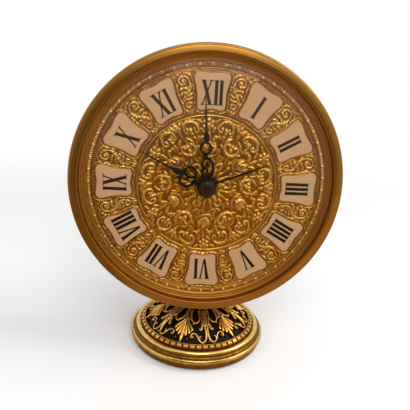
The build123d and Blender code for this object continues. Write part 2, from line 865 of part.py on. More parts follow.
def hour_hand():
    reach = hour_hand_length
    face = tapered_face([(3.0, 1.0), (0.28 * reach, 0.8)])
    face += ring_face((3.2, 0.325 * reach), 3.1, 2.1)
    face += ring_face((-2.5, 0.318 * reach), 3.4, 2.4)
    face += tapered_face([
        (0.37 * reach, 0.7), (0.42 * reach, 1.1), (0.475 * reach, 1.6),
        (0.56 * reach, 1.0), (0.62 * reach, 0.6), (reach, 0.15),
    ])
    face += tapered_face([(0.26 * reach, 0.7), (0.38 * reach, 0.7)])
    blade = prism(face, hour_hand_back + 0.3, hour_hand_back + 0.3 + hand_thickness)
    hand = blade + disc(cap_radius - 0.6, hour_hand_back, hour_hand_back + collet_height)
    return hand_place(hand - disc(hour_pipe + press_gap, 0.0, 60.0), hour_hand_bearing)


def alarm_hand():
    face = tapered_face([(3.0, 0.55), (0.9 * alarm_hand_length, 0.3), (alarm_hand_length, 0.1)])
    blade = prism(face, alarm_hand_back + 0.2, alarm_hand_back + 0.2 + hand_thickness)
    hand = blade + disc(cap_radius - 0.4, alarm_hand_back, alarm_hand_back + collet_height)
    return hand_place(hand - disc(alarm_pipe + press_gap, 0.0, 60.0), alarm_hand_bearing)


def hand_cap():
    low = minute_hand_back + collet_height
    high = low + cap_height
    shoulder = low + 0.5 * cap_height
    half = cap_radius / 2.0
    cap = turned(
        (0.0, low),
        (cap_radius, low),
        (cap_radius, shoulder),
        (half, high - cap_drop(cap_radius, high - shoulder, half), 0.0, high),
    )
    return stand_up(cap - disc(cannon_pipe + press_gap, low - 1.0, low + 1.2))


def cannon_pinion():
    low = front_plate_front + 0.3
    pinion = toothed(cannon_teeth, motion_module, 0.0, cannon_pipe + press_gap, low, low + 1.4, centre_at)
    pipe = tube(cannon_pipe, cannon_bore, low, minute_hand_back + collet_height + 1.0)
    return gather(stand_up(pinion), stand_up(pipe))


def hour_wheel():
    low = front_plate_front + 1.9
    wheel = toothed(hour_teeth, hour_module, hour_phase, hour_pipe + press_gap, low, low + 0.9, centre_at)
    pipe = tube(hour_pipe, hour_bore, low, hour_hand_back + collet_height)
    return gather(stand_up(wheel), stand_up(pipe))


def alarm_wheel():
    low = front_plate_front + 3.4
    wheel = toothed(
        alarm_wheel_teeth, alarm_module, 0.0, alarm_pipe + press_gap, low, low + 0.8, centre_at, 4)
    pipe = tube(alarm_pipe, alarm_bore, low, alarm_hand_back + collet_height)
    return gather(stand_up(wheel), stand_up(pipe))


def minute_wheel():
    low = front_plate_front + 0.5
    bore = train_arbor + running_gap
    wheel = toothed(minute_teeth, motion_module, minute_phase, bore, low, low + 1.0, minute_at)
    pinion = toothed(
        minute_pinion_teeth, hour_module, minute_pinion_phase, bore, low + 1.0, low + 2.4, minute_at)
    return gather(stand_up(wheel), stand_up(pinion))


# Setting arbors and knobs

def setting_spindle(at, teeth, module, phase, low):
    pinion = toothed(teeth, module, phase, setting_arbor + press_gap, low, low + 1.2, at)
    arbor = disc(setting_arbor, cover_back - 0.8 - knob_height + 1.0, low + 1.2, at)
    return gather(stand_up(pinion), stand_up(arbor))


def setting_knob(at):
    high = cover_back - 0.8
    low = high - knob_height
    points = []
    for k in range(knob_flutes):
        points.append(around(knob_radius, 360.0 * k / knob_flutes))
        points.append(around(knob_radius - 0.5, 360.0 * (k + 0.5) / knob_flutes))
    knob = Pos(at[0], at[1], 0) * prism(polygon(points), low, high)
    return stand_up(knob - disc(setting_arbor + press_gap, low + 1.0, high + 1.0, at))


def hand_setting_arbor():
    return setting_spindle(
        setting_at, setting_teeth, motion_module, setting_phase, front_plate_front + 0.4)


def alarm_setting_arbor():
    return setting_spindle(
        alarm_setting_at, alarm_setting_teeth, alarm_module, alarm_setting_phase, front_plate_front + 3.2)


# Barrels, springs and winding

def barrel(at, teeth, module, radius, teeth_low, low, high):
    bore = winding_arbor + running_gap
    wheel = toothed(teeth, module, 0.0, bore, teeth_low, teeth_low + 1.6, at)
    front = teeth_low > low
    shell_low = low if front else low + 1.6
    shell_high = high - 1.6 if front else high
    shell = tube(radius, radius - 1.0, shell_low, shell_high, at)
    lid_low = shell_low if front else shell_high - 0.8
    lid = tube(radius - 0.5, bore, lid_low, lid_low + 0.8, at)
    return gather(stand_up(wheel), stand_up(shell + lid))


barrel_shell_radius = 15.4
alarm_shell_radius = 10.6


def time_barrel():
    return barrel(barrel_at, barrel_teeth, barrel_module, barrel_shell_radius,
                  barrel_low, barrel_low, barrel_high)


def alarm_barrel():
    return barrel(alarm_barrel_at, alarm_barrel_teeth, alarm_train_module, alarm_shell_radius,
                  alarm_teeth_low, barrel_low, barrel_high)


def mainspring(at, radius, low, high):
    return stand_up(tube(radius - 1.0 - clear_gap, winding_arbor + 2.6, low, high, at))


def time_mainspring():
    return mainspring(barrel_at, barrel_shell_radius, barrel_low + 2.0, barrel_high - 1.2)


def alarm_mainspring():
    return mainspring(alarm_barrel_at, alarm_shell_radius, barrel_low + 1.2, barrel_high - 2.0)


def winding_spindle(at):
    arbor = disc(winding_arbor, cover_back - 6.0, front_plate_back - 0.6, at)
    arbor += disc(1.4, front_plate_back - 0.7, front_plate_front, at)
    points = []
    for k in range(ratchet_teeth):
        points.append(around(ratchet_tip, 360.0 * k / ratchet_teeth))
        points.append(around(ratchet_root, 360.0 * (k + 0.12) / ratchet_teeth))
    face = polygon(points) - polygon(flat_bore(winding_arbor + press_gap))
    ratchet = Pos(at[0], at[1], 0) * prism(face, ratchet_low, ratchet_low + 1.2)
    return gather(stand_up(arbor), stand_up(ratchet))


def winding_key(at):
    high = cover_back - 1.0
    low = high - 12.5
    hub = disc(3.4, high - 6.5, high, at) - disc(winding_arbor + press_gap, cover_back - 6.2, high + 1.0, at)
    level = low + key_wing_radius
    for side in (-1.0, 1.0):
        lobe = Cylinder(key_wing_radius, key_wing_thickness) - Cylinder(2.4, key_wing_thickness + 2.0)
        hub += Pos(at[0] + side * key_wing_offset, at[1], level) * Rot(90, 0, 0) * lobe
    web = Box(2 * key_wing_offset - 8.0, key_wing_thickness, 6.0)
    hub += Pos(at[0], at[1], high - 8.6) * web
    return stand_up(hub)


# The going train

def train_spindle(at, low, high, radius):
    arbor = disc(radius, back_plate_front + 0.3, front_plate_back - 0.3, at)
    return arbor + disc(pivot_radius, low, high, at)


def train_wheel(at, wheel, pinion, radius=train_arbor):
    teeth, module, phase, low, spokes = wheel
    leaves, leaf_module, leaf_phase, leaf_low, leaf_high = pinion
    bore = radius + press_gap
    rim = toothed(teeth, module, phase, bore, low, low + wheel_thickness, at, spokes)
    leaf = toothed(leaves, leaf_module, leaf_phase, bore, leaf_low, leaf_high, at)
    arbor = train_spindle(at, back_plate_back, front_plate_front, radius)
    return gather(stand_up(rim), stand_up(leaf), stand_up(arbor))


def intermediate_wheel():
    return train_wheel(
        intermediate_at,
        (intermediate_teeth, intermediate_module, 0.0, intermediate_low, 4),
        (intermediate_pinion_teeth, barrel_module, intermediate_pinion_phase,
         barrel_low - 0.4, barrel_low + 2.0),
        1.2,
    )


def centre_wheel():
    bore = centre_arbor + 0.5 + press_gap
    rim = toothed(centre_teeth, train_module, 0.0, bore, centre_low, centre_low + wheel_thickness, centre_at, 4)
    leaf = toothed(
        centre_pinion_teeth, intermediate_module, centre_pinion_phase, bore,
        intermediate_low - 0.3, intermediate_low + 1.4, centre_at)
    arbor = disc(centre_arbor + 0.5, back_plate_front + 0.3, front_plate_front)
    arbor += disc(pivot_radius, back_plate_back, back_plate_front + 1.0)
    arbor += disc(centre_arbor, front_plate_front - 0.5, minute_hand_back + collet_height + 0.8)
    return gather(stand_up(rim), stand_up(leaf), stand_up(arbor))


def third_wheel():
    return train_wheel(
        third_at,
        (third_teeth, train_module, 0.0, third_low, 4),
        (third_pinion_teeth, train_module, third_pinion_phase, centre_low - 0.4, centre_low + 1.4),
    )


def fourth_wheel():
    return train_wheel(
        fourth_at,
        (fourth_teeth, escape_module, 0.0, fourth_low, 4),
        (fourth_pinion_teeth, train_module, fourth_pinion_phase, third_low - 0.4, third_low + 1.4),
    )


def pointed_wheel(teeth, tip, root, lean, bore, low, high, at):
    points = []
    for k in range(teeth):
        points.append(around(tip, 360.0 * k / teeth))
        points.append(around(root, 360.0 * (k + lean) / teeth))
        points.append(around(root, 360.0 * (k + 0.8) / teeth))
    face = polygon(points) - polygon(flat_bore(bore))
    return Pos(at[0], at[1], 0) * prism(face, low, high)


def escape_wheel():
    radius = 0.55
    wheel = pointed_wheel(
        escape_teeth, escape_radius, 3.6, 0.15, radius + press_gap, escape_low, escape_low + 0.8, escape_at)
    leaf = toothed(
        escape_pinion_teeth, escape_module, escape_pinion_phase, radius + press_gap,
        fourth_low - 0.4, fourth_low + 1.4, escape_at)
    arbor = disc(radius, back_plate_back, front_plate_front, escape_at)
    return gather(stand_up(wheel), stand_up(leaf), stand_up(arbor))


def pallet_lever():
    low = escape_low
    high = escape_low + 0.8
    toward = pallet_bearing + 180.0
    body = disc(1.5, low, high, pallet_at)
    for side in (-1.0, 1.0):
        elbow = step_from(escape_at, escape_radius + 1.7, pallet_bearing + side * 38.0)
        nose = step_from(escape_at, escape_radius + 0.55, pallet_bearing + side * 40.0)
        heel = step_from(escape_at, escape_radius + 1.9, pallet_bearing + side * 46.0)
        root_a = step_from(pallet_at, 1.2, toward + side * 60.0)
        root_b = step_from(pallet_at, 1.2, toward - side * 150.0)
        body += prism(polygon([root_a, elbow, nose, heel, root_b]), low, high)
    tail = step_from(pallet_at, 6.2, balance_bearing)
    side_a = step_from(pallet_at, 0.8, balance_bearing + 90.0)
    side_b = step_from(pallet_at, 0.8, balance_bearing - 90.0)
    horn_a = step_from(tail, 0.9, balance_bearing + 60.0)
    horn_b = step_from(tail, 0.9, balance_bearing - 60.0)
    body += prism(polygon([side_b, horn_b, tail, horn_a, side_a]), low, high)
    arbor = train_spindle(pallet_at, back_plate_back, front_plate_front, train_arbor)
    return gather(stand_up(body + arbor))


def balance_wheel():
    low = fourth_low + 5.0
    rim = tube(balance_radius, balance_radius - 1.4, low, low + 1.4, balance_at)
    arm = Pos(balance_at[0], balance_at[1], low + 0.7) * Box(2 * balance_radius - 2.0, 1.6, 0.9)
    staff = disc(train_arbor, back_plate_front + 0.4, front_plate_back - 0.3, balance_at)
    staff += disc(pivot_radius, cock_back - 0.8, front_plate_front, balance_at)
    roller = disc(1.4, escape_low, escape_low + 0.8, balance_at)
    wheel = rim + arm + staff + roller
    return stand_up(wheel)


def hairspring():
    low = fourth_low + 7.2
    coil_width = 0.25
    coil_pitch = 0.75
    coil_start = 1.1
    coil_turns = 6
    count = coil_turns * 24
    inner = []
    outer = []
    for k in range(count + 1):
        radius = coil_start + coil_pitch * k / 24.0
        inner.append(around(radius, 15.0 * k))
        outer.append(around(radius + coil_width, 15.0 * k))
    face = polygon(inner + outer[::-1])
    collar = tube(coil_start + 0.1, train_arbor + press_gap, low, low + 0.8)
    coil = prism(face, low, low + 0.6) + collar
    return stand_up(Pos(balance_at[0], balance_at[1], 0) * coil)


def regulator_lever():
    high = cock_back
    low = high - 0.8
    lever = disc(3.6, low, high - 0.1, balance_at)
    arm = prism(polygon([(2.2, -0.9), (regulator_reach, -0.9), (regulator_reach, 0.9), (2.2, 0.9)]), low, high - 0.1)
    lever += Pos(balance_at[0], balance_at[1], 0) * Rot(0, 0, 60.0) * arm
    pin_at = step_from(balance_at, regulator_reach, 60.0)
    lever += disc(0.9, cover_back - 2.6, high - 0.1, pin_at)
    return stand_up(lever - disc(2.0 + running_gap, low - 1.0, high + 1.0, balance_at))


# The alarm train

def alarm_star_wheel():
    star = pointed_wheel(
        star_teeth, star_radius, 3.0, 0.4, train_arbor + press_gap, star_low, star_low + 0.9, star_at)
    leaf = toothed(
        alarm_pinion_teeth, alarm_train_module, alarm_pinion_phase, train_arbor + press_gap,
        alarm_teeth_low - 0.3, alarm_teeth_low + 1.9, star_at)
    arbor = train_spindle(star_at, back_plate_back, front_plate_front, train_arbor)
    return gather(stand_up(star), stand_up(leaf), stand_up(arbor))


def alarm_hammer():
    arm_high = back_plate_back - 1.4
    arm_low = arm_high - 1.2
    arbor = disc(0.9, arm_low, front_plate_back - 0.3, hammer_at)
    arbor += disc(pivot_radius, front_plate_back - 0.4, front_plate_front, hammer_at)
    reach = step_from(hammer_at, hammer_length, hammer_angle)
    side_a = step_from(hammer_at, 1.5, hammer_angle + 90.0)
    side_b = step_from(hammer_at, 1.5, hammer_angle - 90.0)
    end_a = step_from(reach, 0.8, hammer_angle + 90.0)
    end_b = step_from(reach, 0.8, hammer_angle - 90.0)
    arm = prism(polygon([side_b, end_b, end_a, side_a]), arm_low, arm_high)
    head = disc(2.4, arm_low - 3.0, arm_high, reach)
    verge = step_from(hammer_at, 1.5, hammer_bearing + 180.0)
    pad = prism(polygon([
        step_from(hammer_at, 0.6, hammer_bearing + 90.0),
        verge,
        step_from(hammer_at, 0.6, hammer_bearing - 90.0),
    ]), star_low, star_low + 0.9)
    return stand_up(arbor + arm + head + pad + disc(1.5, arm_low, arm_high, hammer_at))


def stop_button():
    high = cover_back - stop_travel - 1.0
    button = disc(stop_radius, high - 4.5, high, stop_button_at)
    button += disc(1.6, high - 0.1, back_plate_back - 4.6, stop_button_at)
    return stand_up(button + disc(2.8, drum_rear + clear_gap, drum_rear + 1.5, stop_button_at))


# Writing the parts

parts = {
    "felt_pad": felt_pad(),
    "foot_ring": foot_ring(),
    "base_weight": base_weight(),
    "enamel_dome": enamel_dome(),
    "openwork_dome": openwork_dome(),
    "neck": neck(),
    "saddle_washer": saddle_washer(),
    "tie_bolt": tie_bolt(),
    "base_nut": base_nut(),
    "case_drum": case_drum(),
    "bezel": bezel(),
    "bezel_screws": bezel_screws(),
    "crystal": crystal(),
    "dial_surround": dial_surround(),
    "dial_plate": dial_plate(),
    "numeral_plates": numeral_plates(),
    "carrier_plate": carrier_plate(),
    "carrier_posts": carrier_posts(),
    "rear_cover": rear_cover(),
    "rear_cover_screws": rear_cover_screws(),
    "front_plate": front_plate(),
    "back_plate": back_plate(),
    "plate_pillars": plate_pillars(),
    "balance_cock": balance_cock(),
    "time_click": click(time_click_at, 120.0),
    "alarm_click": click(alarm_click_at, 200.0),
    "sounding_post": sounding_post(),
    "minute_hand": minute_hand(),
    "hand_cap": hand_cap(),
    "cannon_pinion": cannon_pinion(),
    "hour_hand": hour_hand(),
    "hour_wheel": hour_wheel(),
    "minute_wheel": minute_wheel(),
    "hand_setting_arbor": hand_setting_arbor(),
    "hand_setting_knob": setting_knob(setting_at),
    "alarm_hand": alarm_hand(),
    "alarm_wheel": alarm_wheel(),
    "alarm_setting_arbor": alarm_setting_arbor(),
    "alarm_setting_knob": setting_knob(alarm_setting_at),
    "time_barrel": time_barrel(),
    "time_mainspring": time_mainspring(),
    "time_barrel_arbor": winding_spindle(barrel_at),
    "time_winding_key": winding_key(barrel_at),
    "alarm_barrel": alarm_barrel(),
    "alarm_mainspring": alarm_mainspring(),
    "alarm_barrel_arbor": winding_spindle(alarm_barrel_at),
    "alarm_winding_key": winding_key(alarm_barrel_at),
    "intermediate_wheel": intermediate_wheel(),
    "centre_wheel": centre_wheel(),
    "third_wheel": third_wheel(),
    "fourth_wheel": fourth_wheel(),
    "escape_wheel": escape_wheel(),
    "pallet_lever": pallet_lever(),
    "balance_wheel": balance_wheel(),
    "hairspring": hairspring(),
    "regulator_lever": regulator_lever(),
    "alarm_star_wheel": alarm_star_wheel(),
    "alarm_hammer": alarm_hammer(),
    "stop_button": stop_button(),
}

for name, shape in parts.items():
    export_step(shape, f"parts/{name}.step")
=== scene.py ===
"""Looks for a round pedestal alarm clock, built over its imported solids.

Lengths in the classes are millimetres. Shapes are drawn about one of two axes, as z: the stand's, in the
object's own frame (+Z up, dial facing -Y), or the case's, with x to the right, y up and z to the viewer.
"""

from __future__ import annotations

import json
import logging
import math
from dataclasses import dataclass
from enum import Enum
from typing import Any, Iterable, Iterator, Sequence

import bpy
import numpy as np
from bpy.types import ID, Material, Node, NodeSocket, NodeTree, Object
from mathutils import Matrix, Vector

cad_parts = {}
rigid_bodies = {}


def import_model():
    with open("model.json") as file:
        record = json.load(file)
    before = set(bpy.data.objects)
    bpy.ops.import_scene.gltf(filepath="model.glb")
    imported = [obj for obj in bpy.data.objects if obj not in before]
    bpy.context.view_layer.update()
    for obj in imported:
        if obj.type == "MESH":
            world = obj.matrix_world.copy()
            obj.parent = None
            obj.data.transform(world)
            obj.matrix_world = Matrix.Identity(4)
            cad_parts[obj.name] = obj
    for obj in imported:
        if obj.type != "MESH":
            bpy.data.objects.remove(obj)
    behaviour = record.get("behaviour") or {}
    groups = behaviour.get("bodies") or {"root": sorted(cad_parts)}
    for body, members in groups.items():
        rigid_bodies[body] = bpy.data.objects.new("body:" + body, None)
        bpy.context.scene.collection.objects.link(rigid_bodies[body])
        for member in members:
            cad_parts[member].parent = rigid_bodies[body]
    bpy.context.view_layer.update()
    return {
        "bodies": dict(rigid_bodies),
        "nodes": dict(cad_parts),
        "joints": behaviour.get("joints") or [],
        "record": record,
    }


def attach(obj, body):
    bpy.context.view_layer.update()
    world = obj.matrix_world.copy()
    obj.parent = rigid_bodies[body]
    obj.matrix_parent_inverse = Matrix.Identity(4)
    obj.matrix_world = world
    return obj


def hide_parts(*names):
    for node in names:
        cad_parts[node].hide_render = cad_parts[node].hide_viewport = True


LOG = logging.getLogger("desk_clock")
MM = 0.001
DIAL_HEIGHT = 106.0
ROOT_BODY = "stand_and_case"

TINY = 1e-12  # added to a length before dividing by it
ON_AXIS = 1e-6  # a smaller radius counts as a point on the axis
BEVEL_STEPS = 3  # steps round a slab's edge
END_BULGE = 0.6  # how far a tube's end stands out, over its half width
SIDE_SHADE_AND_WEAR, CREST_HIGHLIGHT_AND_WEAR = 0.25, 0.6  # wear and painted shade at a tube's sides, and the wear and painted highlight that its crest gains
SPIRAL_CLOSING = 1.15  # above 1, a spiral closes in faster at its start
# Steps round turned pieces.
WIDE_STEPS, RING_STEPS, RIM_STEPS, COLLAR_STEPS, HUB_STEPS = 256, 192, 144, 96, 64

Loaded = dict[str, Any]
Array = np.ndarray
Pair = tuple[float, float]
Triple = tuple[float, float, float]
Path = tuple[Pair, ...]
Widths = tuple[float, ...]
Wire = tuple[Path, Widths]
Stroke = tuple[Path, Widths, float]
Strand = tuple[Path, Widths, float, float]
Ridge = tuple[Array, Any, float]


class Axis(Enum):
    """The axes that shapes are drawn and metal was turned about: a point in metres and a direction."""

    CASE = ((0.0, 0.0, DIAL_HEIGHT * MM), (0.0, 1.0, 0.0))
    STAND = ((0.0, 0.0, 0.0), (0.0, 0.0, 1.0))


# Drawing aids


@dataclass
class Shape:
    """Vertices in millimetres, faces as index tuples and a value per vertex.

    Attributes:
        points: Array of shape (n, 3).
        faces: Index tuples.
        polish_and_shading: One number per vertex, 0 in the recesses and 1 on the rubbed high points: wear,
            and also painted shade in the recesses and a painted highlight on the high points.
    """

    points: Array
    faces: list[tuple[int, ...]]
    polish_and_shading: Array | None = None

    def turned(self, degrees: float) -> "Shape":
        """Turns a copy about z.

        Args:
            degrees: How far, counter-clockwise.

        Returns:
            The turned copy.
        """
        c, s = math.cos(math.radians(degrees)), math.sin(math.radians(degrees))
        turn = np.array([[c, -s, 0.0], [s, c, 0.0], [0.0, 0.0, 1.0]])
        return Shape(self.points @ turn.T, self.faces, self.polish_and_shading)


def join(shapes: Iterable[Shape]) -> Shape:
    """Joins several shapes into one.

    Args:
        shapes: The shapes to join.

    Returns:
        One shape that holds them all.
    """
    points, faces, polish_and_shading, start = [], [], [], 0
    for shape in shapes:
        points.append(shape.points)
        faces.extend(tuple(i + start for i in face) for face in shape.faces)
        polish_and_shading.append(np.full(len(shape.points), 0.5) if shape.polish_and_shading is None else shape.polish_and_shading)
        start += len(shape.points)
    return Shape(np.vstack(points), faces, np.concatenate(polish_and_shading))


def spread(values: Any, count: int) -> Array:
    """Spreads one number, or several along a path, over its points.

    Args:
        values: One number or a sequence of them.
        count: The number of points.

    Returns:
        One number for each point.
    """
    given = np.atleast_1d(np.asarray(values, float))
    return np.interp(np.linspace(0, 1, count), np.linspace(0, 1, len(given)), given)


def smooth(points: Sequence[Sequence[float]], per_span: int = 6, closed: bool = False) -> Array:
    """Draws a smooth curve through points.

    Args:
        points: The points to pass through, in any dimension.
        per_span: Steps between two neighbouring points.
        closed: Whether the curve comes back to its start.

    Returns:
        The points of the curve.
    """
    p = np.asarray(points, float)
    before = p[-1:] if closed else 2 * p[:1] - p[1:2]
    after = p[:2] if closed else 2 * p[-1:] - p[-2:-1]
    q = np.vstack([before, p, after])
    spans = len(p) if closed else len(p) - 1
    curve = []
    for k in range(spans):
        a, b, c, d = q[k], q[k + 1], q[k + 2], q[k + 3]
        for step in range(per_span):
            t = step / per_span
            curve.append(0.5 * (2 * b + (c - a) * t + (2 * a - 5 * b + 4 * c - d) * t**2
                                + (3 * b - a - 3 * c + d) * t**3))
    if not closed:
        curve.append(p[-1])
    return np.array(curve)


def spiral(centre: Sequence[float], outer: float, inner: float, start: float, turns: float,
           count: int = 30) -> Array:
    """Draws a plane spiral that winds inwards.

    Args:
        centre: Its middle.
        outer: Radius at the start.
        inner: Radius at the end.
        start: Bearing of the start in degrees.
        turns: Turns, negative for clockwise.
        count: Number of points.

    Returns:
        The points, shape (count, 2).
    """
    t = np.linspace(0.0, 1.0, count)
    radius = inner + (outer - inner) * (1.0 - t) ** SPIRAL_CLOSING
    angle = np.radians(start + 360.0 * turns * t)
    return np.stack([centre[0] + radius * np.cos(angle), centre[1] + radius * np.sin(angle)], 1)


def tube(path: Array, half_width: Any, half_height: Any, up: Array, sides: int = 8) -> Shape:
    """Sweeps an oval along a path and closes both ends.

    Args:
        path: Points, shape (n, 3).
        half_width: Half width across the path, one number or several spread along it.
        half_height: Half height along up, in the same way.
        up: The upward direction, one vector or one per point.
        sides: Points round the oval.

    Returns:
        The closed tube.
    """
    n = len(path)
    width, height = spread(half_width, n), spread(half_height, n)
    ups = np.broadcast_to(np.asarray(up, float), (n, 3))
    along = np.gradient(path, axis=0)
    along /= np.linalg.norm(along, axis=1, keepdims=True) + TINY
    side = np.cross(along, ups)
    side /= np.linalg.norm(side, axis=1, keepdims=True) + TINY
    rise = np.cross(side, along)
    angles = 2 * math.pi * np.arange(sides) / sides
    ring = (path[:, None, :] + width[:, None, None] * np.cos(angles)[None, :, None] * side[:, None, :]
            + height[:, None, None] * np.sin(angles)[None, :, None] * rise[:, None, :])
    # Crest lighter, sides darker: wear, and also a painted highlight on the crest and painted shade where the
    # sides meet the ground.
    polish_and_shading = np.tile(np.clip(SIDE_SHADE_AND_WEAR + CREST_HIGHLIGHT_AND_WEAR * np.sin(angles), 0.0, 1.0), n)
    faces: list[tuple[int, ...]] = []
    for k in range(n - 1):
        for s in range(sides):
            t = (s + 1) % sides
            faces.append((k * sides + s, (k + 1) * sides + s, (k + 1) * sides + t, k * sides + t))
    ends = [path[0] - along[0] * width[0] * END_BULGE, path[-1] + along[-1] * width[-1] * END_BULGE]
    first, last = n * sides, n * sides + 1
    for s in range(sides):
        t = (s + 1) % sides
        faces.append((first, s, t))
        faces.append((last, (n - 1) * sides + t, (n - 1) * sides + s))
    return Shape(np.vstack([ring.reshape(-1, 3), ends]), faces, np.concatenate([polish_and_shading, [0.5, 0.5]]))


def lathe(profile: Sequence[Sequence[float]], segments: int = RING_STEPS, closed: bool = True) -> Shape:
    """Turns a profile about z.

    Args:
        profile: Radius and height pairs; a radius of 0 makes one point on the axis.
        segments: Steps round the axis.
        closed: Whether the last pair joins the first, as on a ring.

    Returns:
        The turned shape.
    """
    angles = 2 * math.pi * np.arange(segments) / segments
    points: list[Array] = []
    rows: list[list[int]] = []
    for radius, height in profile:
        start = sum(len(block) for block in points)
        if radius < ON_AXIS:
            points.append(np.array([[0.0, 0.0, height]]))
            rows.append([start] * segments)
        else:
            points.append(np.stack([radius * np.cos(angles), radius * np.sin(angles),
                                    np.full(segments, height)], 1))
            rows.append(list(range(start, start + segments)))
    faces: list[tuple[int, ...]] = []
    pairs = list(zip(rows, rows[1:])) + ([(rows[-1], rows[0])] if closed else [])
    for low, high in pairs:
        for s in range(segments):
            t = (s + 1) % segments
            face = tuple(dict.fromkeys([low[s], low[t], high[t], high[s]]))
            if len(face) > 2:
                faces.append(face)
    return Shape(np.vstack(points), faces)


def slab(outline: Array, low: float, high: float, bevel: float = 0.0) -> Shape:
    """Raises a closed plane outline into a slab with a rounded upper edge.

    Args:
        outline: Points, shape (n, 2), counter-clockwise.
        low: Height of the back.
        high: Height of the front.
        bevel: Radius of the rounded front edge.

    Returns:
        The closed slab.
    """
    n = len(outline)
    ahead = np.roll(outline, -1, 0) - np.roll(outline, 1, 0)
    inward = np.stack([-ahead[:, 1], ahead[:, 0]], 1)
    inward /= np.linalg.norm(inward, axis=1, keepdims=True) + TINY
    steps = [(0.0, low)]
    for k in range(BEVEL_STEPS + 1 if bevel else 1):
        a = math.radians(90.0 * k / BEVEL_STEPS)
        steps.append((bevel * (1 - math.cos(a)), high - bevel * (1 - math.sin(a))))
    rings = [np.column_stack([outline + inward * inset, np.full(n, z)]) for inset, z in steps]
    faces: list[tuple[int, ...]] = []
    for k in range(len(rings) - 1):
        for s in range(n):
            t = (s + 1) % n
            faces.append((k * n + s, k * n + t, (k + 1) * n + t, (k + 1) * n + s))
    faces.append(tuple(range(n - 1, -1, -1)))
    faces.append(tuple((len(rings) - 1) * n + s for s in range(n)))
    return Shape(np.vstack(rings), faces)


# Finishes


def linear(code: str) -> tuple[float, float, float, float]:
    """Turns an sRGB hex colour into linear light.

    Args:
        code: Six hex digits after a hash sign.

    Returns:
        Red, green, blue and 1.
    """
    parts = [int(code[k:k + 2], 16) / 255.0 for k in (1, 3, 5)]
    light = [c / 12.92 if c <= 0.04045 else ((c + 0.055) / 1.055) ** 2.4 for c in parts]
    return (light[0], light[1], light[2], 1.0)


def add_node(tree: NodeTree, kind: str, settings: dict[Any, Any] | None = None,
             links: dict[Any, Node | NodeSocket] | None = None) -> Node:
    """Adds one node with its settings and links.

    Args:
        tree: The node tree.
        kind: Blender's name of the node type, after its ShaderNode prefix.
        settings: Properties by name, or values of input sockets by name or number.
        links: By the name or number of the input they feed, output sockets, or nodes for their first output.

    Returns:
        The node.
    """
    made = tree.nodes.new(f"ShaderNode{kind}")
    for key, value in (settings or {}).items():
        if isinstance(key, str) and hasattr(made, key):
            setattr(made, key, value)
        else:
            made.inputs[key].default_value = value
    for key, source in (links or {}).items():
        socket = source if isinstance(source, NodeSocket) else source.outputs[0]
        tree.links.new(socket, made.inputs[key])
    return made


def grain_scale(size_mm: float) -> float:
    """Returns the noise scale whose grains are about size_mm across, for object coordinates in metres."""
    return 1.0 / (size_mm * MM)


@dataclass(frozen=True)
class Finish:
    """What every finish has: a name, and a material that is made once."""

    name: str

    def material(self) -> Material:
        """Makes the material at the first call.

        Returns:
            The material.
        """
        known = bpy.data.materials.get(self.name)
        if known is not None and known.get("dressed"):
            return known
        made = bpy.data.materials.new(self.name)
        made.use_nodes = True
        made["dressed"] = True
        tree = made.node_tree
        tree.nodes.clear()
        add_node(tree, "OutputMaterial", links={"Surface": self.surface(tree)})
        return made

    def surface(self, tree: NodeTree) -> Node:
        """Builds the finish's nodes.

        Args:
            tree: The material's node tree.

        Returns:
            The node whose first output is the shader.
        """
        raise NotImplementedError


@dataclass(frozen=True)
class Skin(Finish):
    """A finish with one principled shader, whose roughness drifts and which has a fine bump.

    Attributes:
        roughness: Its roughness.
        rough_drift: What the roughness gains where its level is 0 and where it is 1.
        bump: Strength of the bump.
        bump_mm: Depth of the bump.
        metallic: 1 for bare metal, 0 for a coat.
        gloss: The shader's specular level.
    """

    roughness: float = 0.3
    rough_drift: Pair = (0.1, -0.06)
    bump: float = 0.05
    bump_mm: float = 0.1
    metallic: float = 1.0
    gloss: float = 0.5

    def skin(self, tree: NodeTree, colour: Node | NodeSocket, level: Node, height: Node) -> Node:
        """Joins a colour, the drifting roughness and the bump in one shader.

        Args:
            tree: The material's node tree.
            colour: What gives the colour.
            level: What the roughness follows, from 0 to 1.
            height: What gives the bump its height.

        Returns:
            The shader's node.
        """
        low, high = self.rough_drift
        rough = add_node(tree, "MapRange", {
            "To Min": self.roughness + low, "To Max": self.roughness + high}, {"Value": level})
        bump = add_node(tree, "Bump", {
            "Strength": self.bump, "Distance": self.bump_mm * MM}, {"Height": height})
        return add_node(tree, "BsdfPrincipled", {
            "Metallic": self.metallic, "Specular IOR Level": self.gloss}, {
            "Base Color": colour, "Roughness": rough, "Normal": bump})


